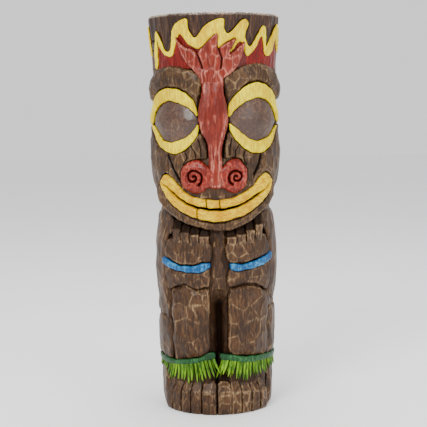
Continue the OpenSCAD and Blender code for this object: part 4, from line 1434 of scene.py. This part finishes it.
class Body:
    """The crouching body: arms with hands under the chin, legs, and the log behind them."""

    def build(self) -> None:
        """Makes every piece of the body."""
        Turned(
            "torso_core", 0, 281, Finish.BODY,
            Knife(17, 30, 1.2, 0.05, 81, ROUND, 0.8),
            # The front behind the limbs and the gap between the legs are sunk and darkened: painted
            # shade.
            ((FRONT, 4.5, 2.5, 0.55), (BETWEEN_LEGS, 17.0, 21.0, 1.0)), steps=384, row=1.5,
        ).paint()
        Member(
            "belly", BELLY, Finish.BODY, top=-3.5, root=-14, edge=3.0,
            lean=((-14, -6), (-7, -1.5), (0, 0), (7, -1.5), (14, -6)),
            knife=Knife(12, 20, 0.8, 0.05, 82),
            # Painted shade at the belly's lower end over the gap between the legs, and at its top
            # under the hands.
            shade_and_stain=((160, 0.8), (176, 0.1), (225, 0.15), (245, 0.6)),
        ).paint()
        self.arms()
        self.hands()
        self.legs()

    def arms(self) -> None:
        """Upper arms at the sides, forearms across the front and their wrist bands."""
        for side, arm, fore, wrist, seed in (
            ("right", ARM_RIGHT, FOREARM_RIGHT, WRIST_RIGHT, 91),
            ("left", ARM_LEFT, FOREARM_LEFT, WRIST_LEFT, 95),
        ):
            Member(
                f"arm_{side}", arm, Finish.LIMB, top=1.0, edge=3.0, swell=1.2, spread=9, root=-12,
                knife=Knife(18, 26, 1.1, 0.05, seed), chart=BODY_CHART,
            ).paint()
            Member(
                f"forearm_{side}", fore, Finish.LIMB, top=0.2, edge=2.4, swell=1.2, spread=7,
                root=-12, knife=Knife(18, 14, 0.9, 0.05, seed + 1), chart=BODY_CHART, grow=1.4,
            ).paint()
            Member(
                f"wrist_band_{side}", wrist, Finish.BLUE, top=2.2, edge=2.0, swell=0.6, spread=3,
                root=-12, knife=Knife(10, 9, 0.3, 0.05, seed + 2), chart=BODY_CHART, grow=0.4,
            ).paint()

    def hands(self) -> None:
        """The backs of the hands, and four fingers on each that point up to the chin."""
        for side, hand, palm, fingers, seed in (
            ("right", HAND_RIGHT, PALM_RIGHT, FINGERS_RIGHT, 101),
            ("left", HAND_LEFT, PALM_LEFT, FINGERS_LEFT, 111),
        ):
            back = Member(
                f"hand_{side}", hand, Finish.LIMB, top=0.8, edge=2.2, swell=1.4, spread=8,
                root=-12, knife=Knife(16, 15, 0.8, 0.06, seed), chart=BODY_CHART, arris=0.7,
            )
            inner = Member(
                f"palm_{side}", palm, Finish.LIMB, top=-4.0, edge=1.0, root=-14, soft=False,
                knife=Knife(10, 10, 0.4, 0.03, seed + 1), chart=BODY_CHART,
                # Painted shade over the sunk palm, seen between the fingers.
                shade_and_stain=((200, 0.8), (300, 0.8)),
            )
            join_members(f"hand_{side}", (back.build(), inner.build()), Finish.LIMB)
            row = []
            for k, (angle, root, tip) in enumerate(fingers):
                outline = (
                    (angle - 4.3, root - 6), (angle - 4.4, tip - 2), (angle - 3.0, tip + 2.2),
                    (angle + 3.0, tip + 2.2), (angle + 4.4, tip - 2), (angle + 4.3, root - 6),
                )
                knuckle = root + 0.52 * (tip - root)
                row.append(
                    Member(
                        f"finger_{side}_{k}", outline, Finish.LIMB, top=0.0, edge=2.2, root=-12,
                        outer=((root - 6, 80.5), (knuckle - 1, 83), (knuckle, 82.6),
                               (knuckle + 3, 80), (tip + 4, 77)),
                        knife=Knife(11, 14, 0.5, 0.08, seed + 2 + k), chart=BODY_CHART, soft=False,
                        # Darker above the knuckle.
                        shade_and_stain=((knuckle - 0.5, 0.0), (knuckle + 1.5, 0.75), (tip + 2, 0.85)),
                        crests=((knuckle - 0.5, 0.9),),
                        voxel=0.85, grow=0.5, arris=0.7,
                    )
                )
            join_members(f"fingers_{side}", [finger.build() for finger in row], Finish.LIMB)

    def legs(self) -> None:
        """Shins in front, haunches at the sides, feet with toes, and the anklets."""
        for side, shin, haunch, anklet, ankle, toes, seed in (
            ("right", SHIN_RIGHT, HAUNCH_RIGHT, ANKLET_RIGHT, ANKLE_RIGHT, TOES_RIGHT, 121),
            ("left", SHIN_LEFT, HAUNCH_LEFT, ANKLET_LEFT, ANKLE_LEFT, TOES_LEFT, 141),
        ):
            sign = -1.0 if side == "right" else 1.0
            Member(
                f"shin_{side}", shin, Finish.LIMB, top=-1.2, edge=2.6, swell=5.0, spread=15,
                root=-14, knife=Knife(19, 24, 1.5, 0.05, seed, ridge=0.75), chart=BODY_CHART,
                grow=1.3, arris=0.6,
                lift=((70, -1.5), (85, 0), (150, 1.6), (160, 1.4), (172, -3)),
            ).paint()
            Member(
                f"haunch_{side}", haunch, Finish.LIMB, top=1.0, edge=3.0, swell=1.0, spread=9,
                root=-12, knife=Knife(18, 22, 1.0, 0.05, seed + 1), chart=BODY_CHART,
            ).paint()
            Member(
                f"anklet_band_{side}", anklet, Finish.GREEN, top=2.0, edge=2.0, swell=0.6,
                spread=3, root=-6, knife=Knife(12, 9, 0.3, 0.05, seed + 2), chart=BODY_CHART,
                grow=0.2,
            ).paint()
            edge_in, edge_out = sorted((sign * 63.0, sign * 70.0))
            recess = (
                ((-112, 0), (edge_in, 0), (edge_out, -6.5), (-4, -6.5)) if sign < 0
                else ((-2, -6.5), (edge_in, -6.5), (edge_out, 0), (112, 0))
            )
            Member(
                f"foot_{side}", ankle, Finish.LIMB, top=0.2, edge=2.0, root=-16, soft=False,
                knife=Knife(16, 18, 0.9, 0.05, seed + 3), chart=FOOT_CHART, lean=recess, grow=0.2,
                # Painted shadow of the grass fringe on the ankle, and painted shade between the
                # toes under SHADE_TOP.
                shade_and_stain=((36, 0.0), (44, 0.8), (80, 0.8)), shaded=66.0,
            ).paint()
            row = []
            for k, (angle, width, ridge) in enumerate(toes):
                half = math.degrees(width / 2.0 / TOE_CHART) * 1.17
                outline = (
                    (angle - half, 0.0), (angle - half, 40.0), (angle - half * 0.6, 45.0),
                    (angle + half * 0.6, 45.0), (angle + half, 40.0), (angle + half, 0.0),
                )
                row.append(
                    Member(
                        f"toe_{side}_{k}", outline, Finish.LIMB, top=0.0, edge=2.0, root=-16,
                        outer=((0, 75.5), (4, 77.4), (ridge - 1, 77.6), (ridge + 1, 76.8),
                               (46, 67)),
                        arris=0.5, crests=((ridge, 0.9),),
                        knife=Knife(13, 14, 0.6, 0.07, seed + 4 + k), chart=TOE_CHART, soft=False,
                        grow=0.3,
                    )
                )
            join_members(f"toes_{side}", [toe.build() for toe in row], Finish.LIMB)


class Grass:
    """The fringe of grass under each anklet band: one blade, copied all round."""

    tips_right: Chart = (
        (-104, 52), (-80, 55), (-66, 55), (-60, 46), (-49, 43), (-36, 42), (-22, 46), (-16, 51),
        (-2, 56),
    )
    tips_left: Chart = (
        (0, 52), (12, 54), (20, 49), (28, 46), (36, 50), (44, 49), (51, 50), (59, 54), (75, 52),
        (100, 50),
    )
    roots_right: Chart = (
        (-104, 65), (-66, 66), (-50, 67), (-35, 70), (-20, 74), (-8, 79), (-4, 80),
    )
    roots_left: Chart = ((0, 79), (12, 77), (24, 73), (34, 71), (49, 71), (76, 68), (100, 67))

    def blade(self) -> bpy.types.Object:
        """Models one blade: a unit box drawn out, divided, tapered and creased."""
        settle()
        bpy.ops.mesh.primitive_cube_add(size=1.0, location=(0.0, 0.0, -0.5))
        blade = bpy.context.object
        blade.name = "blade"
        bpy.ops.object.transform_apply(location=True, rotation=False, scale=False)
        bpy.ops.object.mode_set(mode="EDIT")
        bpy.ops.mesh.select_all(action="SELECT")
        bpy.ops.mesh.subdivide(number_cuts=5)
        bpy.ops.object.mode_set(mode="OBJECT")
        place = coordinates(blade)
        along = -place[:, 2]
        taper = np.interp(along, [0.0, 0.25, 0.7, 0.9, 1.0], [0.75, 1.0, 0.85, 0.5, 0.06])
        place[:, 0] *= taper
        crease = 1.0 - np.abs(place[:, 0]) / 0.5
        place[:, 1] = (place[:, 1] + 0.5) * (0.35 + 0.65 * crease) * (0.4 + 0.6 * taper)
        put(blade, place)
        return blade

    def build(self) -> None:
        """Makes the two fringes."""
        for side, start, end, roots, tips, seed in (
            ("right", -102.0, -4.5, self.roots_right, self.tips_right, 161),
            ("left", 1.5, 98.0, self.roots_left, self.tips_left, 162),
        ):
            self.fringe(side, start, end, roots, tips, seed)

    def fringe(
        self, side: str, start: float, end: float, roots: Chart, tips: Chart, seed: int
    ) -> None:
        """Copies the blade along one ankle.

        Args:
            side: Which ankle.
            start: Angle of the first blade.
            end: Angle of the last one.
            roots: Height of the roots against the angle.
            tips: Height of the tips against the angle.
            seed: Seed of the scatter.
        """
        rng = np.random.RandomState(seed)
        blade = self.blade()
        unit = coordinates(blade)
        copies = []
        count = 27
        middle = 0.5 * (start + end) + (12.0 if side == "right" else -12.0)
        for layer in range(2):
            for k in range(count):
                angle = start + (end - start) * (k + 0.5 * layer + rng.uniform(-0.22, 0.22)) / count
                if not start <= angle <= end:
                    continue
                root = float(follow(roots, angle))
                tip = float(follow(tips, angle))
                tip += rng.uniform(-2.5, 3.5) - (1.5 if layer else 0.0)
                splay = float(np.clip((angle - middle) / 34.0, -1.0, 1.0))
                slant = 9.0 * splay + rng.uniform(-2.0, 2.0)
                out = rng.uniform(0.3, 1.7) + (1.3 if layer == 0 else 0.0)
                width = rng.uniform(3.2, 4.8) * (0.6 if layer else 1.0)
                along = -unit[:, 2]
                s = math.radians(angle) * BODY_CHART + unit[:, 0] * width + slant * along**1.3
                z = root + 2.5 - (root + 2.5 - tip) * along
                t = -0.8 + (0.5 if layer == 0 else 0.0) + unit[:, 1] * 1.5 + out * along**1.5
                copy = bpy.data.objects.new(f"blade_{side}_{layer}_{k}", blade.data.copy())
                bpy.context.scene.collection.objects.link(copy)
                put(copy, TRUNK.wrap(s, z, t, BODY_CHART))
                crease = np.clip(1.0 - np.abs(unit[:, 0]) / 0.22, 0.0, 1.0)
                store(copy, "ridge", crease * rng.uniform(0.1, 1.0) * (unit[:, 1] > 0.1))
                # Random darker blades, plus painted shade on the rear layer and at the roots.
                dark = rng.uniform(0.0, 0.3) + (0.4 if layer else 0.0)
                store(copy, "hollow", np.full(len(s), dark) + 0.3 * (along < 0.12))
                store(copy, "wear_and_rim_highlight", np.zeros(len(s)))
                copies.append(copy)
        bpy.data.objects.remove(blade)
        settle()
        for copy in copies:
            copy.select_set(True)
        bpy.context.view_layer.objects.active = copies[0]
        bpy.ops.object.join()
        fringe = copies[0]
        fringe.name = f"grass_fringe_{side}_cut"
        fringe.data.name = fringe.name
        finish_mesh(fringe, 35.0)
        PAINTS.dress(fringe, Finish.GRASS, f"grass_fringe_{side}")


# ----------------------------------------------------------------------------- the studio


class Studio:
    """A pale floor, large soft lights and the camera."""

    def build(self) -> None:
        """Sets the scene up."""
        self.floor()
        self.world()
        self.lamp("key", (-0.8, -1.5, 1.6), 0.9, 40.0)
        self.lamp("fill", (1.3, -1.3, 0.9), 1.4, 14.0)
        self.lamp("top", (0.1, 0.3, 1.9), 1.2, 18.0)
        self.camera()

    def floor(self) -> None:
        """Lays the floor."""
        settle()
        bpy.ops.mesh.primitive_plane_add(size=12.0, location=(0.0, 0.0, 0.0))
        floor = bpy.context.object
        floor.name = "floor"
        material = bpy.data.materials.new("floor_paper")
        material.use_nodes = True
        pen = NodePen(material.node_tree)
        skin = material.node_tree.nodes["Principled BSDF"]
        place = pen.add("ShaderNodeTexCoord").outputs["Object"]
        grain = pen.noise(place, 6.0, (1.0, 1.0, 1.0), 3.0)
        tone = pen.mix(grain, linear((246, 246, 246)), linear((252, 252, 252)))
        pen.join(tone, skin.inputs["Base Color"])
        skin.inputs["Roughness"].default_value = 0.9
        floor.data.materials.append(material)

    def world(self) -> None:
        """Fills the room with even white light."""
        world = bpy.data.worlds.new("room")
        world.use_nodes = True
        back = world.node_tree.nodes["Background"]
        back.inputs["Color"].default_value = (1.0, 1.0, 1.0, 1.0)
        back.inputs["Strength"].default_value = 1.1
        bpy.context.scene.world = world

    def lamp(self, name: str, place: Sequence[float], size: float, power: float) -> None:
        """Adds a round soft light aimed at the figure.

        Args:
            name: The light's name.
            place: Where it hangs, in metres.
            size: Its width.
            power: Its power in watts.
        """
        data = bpy.data.lights.new(name, "AREA")
        data.shape = "DISK"
        data.size = size
        data.energy = power
        light = bpy.data.objects.new(name, data)
        light.location = place
        aim = Vector((0.0, 0.0, 0.26)) - Vector(place)
        light.rotation_euler = aim.to_track_quat("-Z", "Y").to_euler()
        bpy.context.scene.collection.objects.link(light)

    def camera(self) -> None:
        """Stands the camera in front, a little to the figure's right and above its chin."""
        eye = Vector((-0.0635, -1.45085, 0.414))
        aim = Vector((-0.00306, 0.00375, 0.25772))
        roll = math.radians(0.65)
        ahead = (aim - eye).normalized()
        right = ahead.cross(Vector((0.0, 0.0, 1.0))).normalized()
        up = right.cross(ahead)
        turned_right = right * math.cos(roll) - up * math.sin(roll)
        turned_up = up * math.cos(roll) + right * math.sin(roll)
        frame_matrix = Matrix((turned_right, turned_up, -ahead)).transposed().to_4x4()
        frame_matrix.translation = eye
        data = bpy.data.cameras.new("camera")
        data.lens = 91.3
        data.sensor_width = 36.0
        data.clip_end = 20.0
        camera = bpy.data.objects.new("camera", data)
        camera.matrix_world = frame_matrix
        bpy.context.scene.collection.objects.link(camera)
        bpy.context.scene.camera = camera


def main() -> None:
    """Builds the figure piece by piece, then the studio."""
    logging.basicConfig(level=logging.INFO, format="%(message)s")
    settle()
    for assembly in (Head(), Crown(), Body(), Grass(), Studio()):
        LOG.info("%s", type(assembly).__name__)
        assembly.build()


if __name__ == "__main__":
    main()
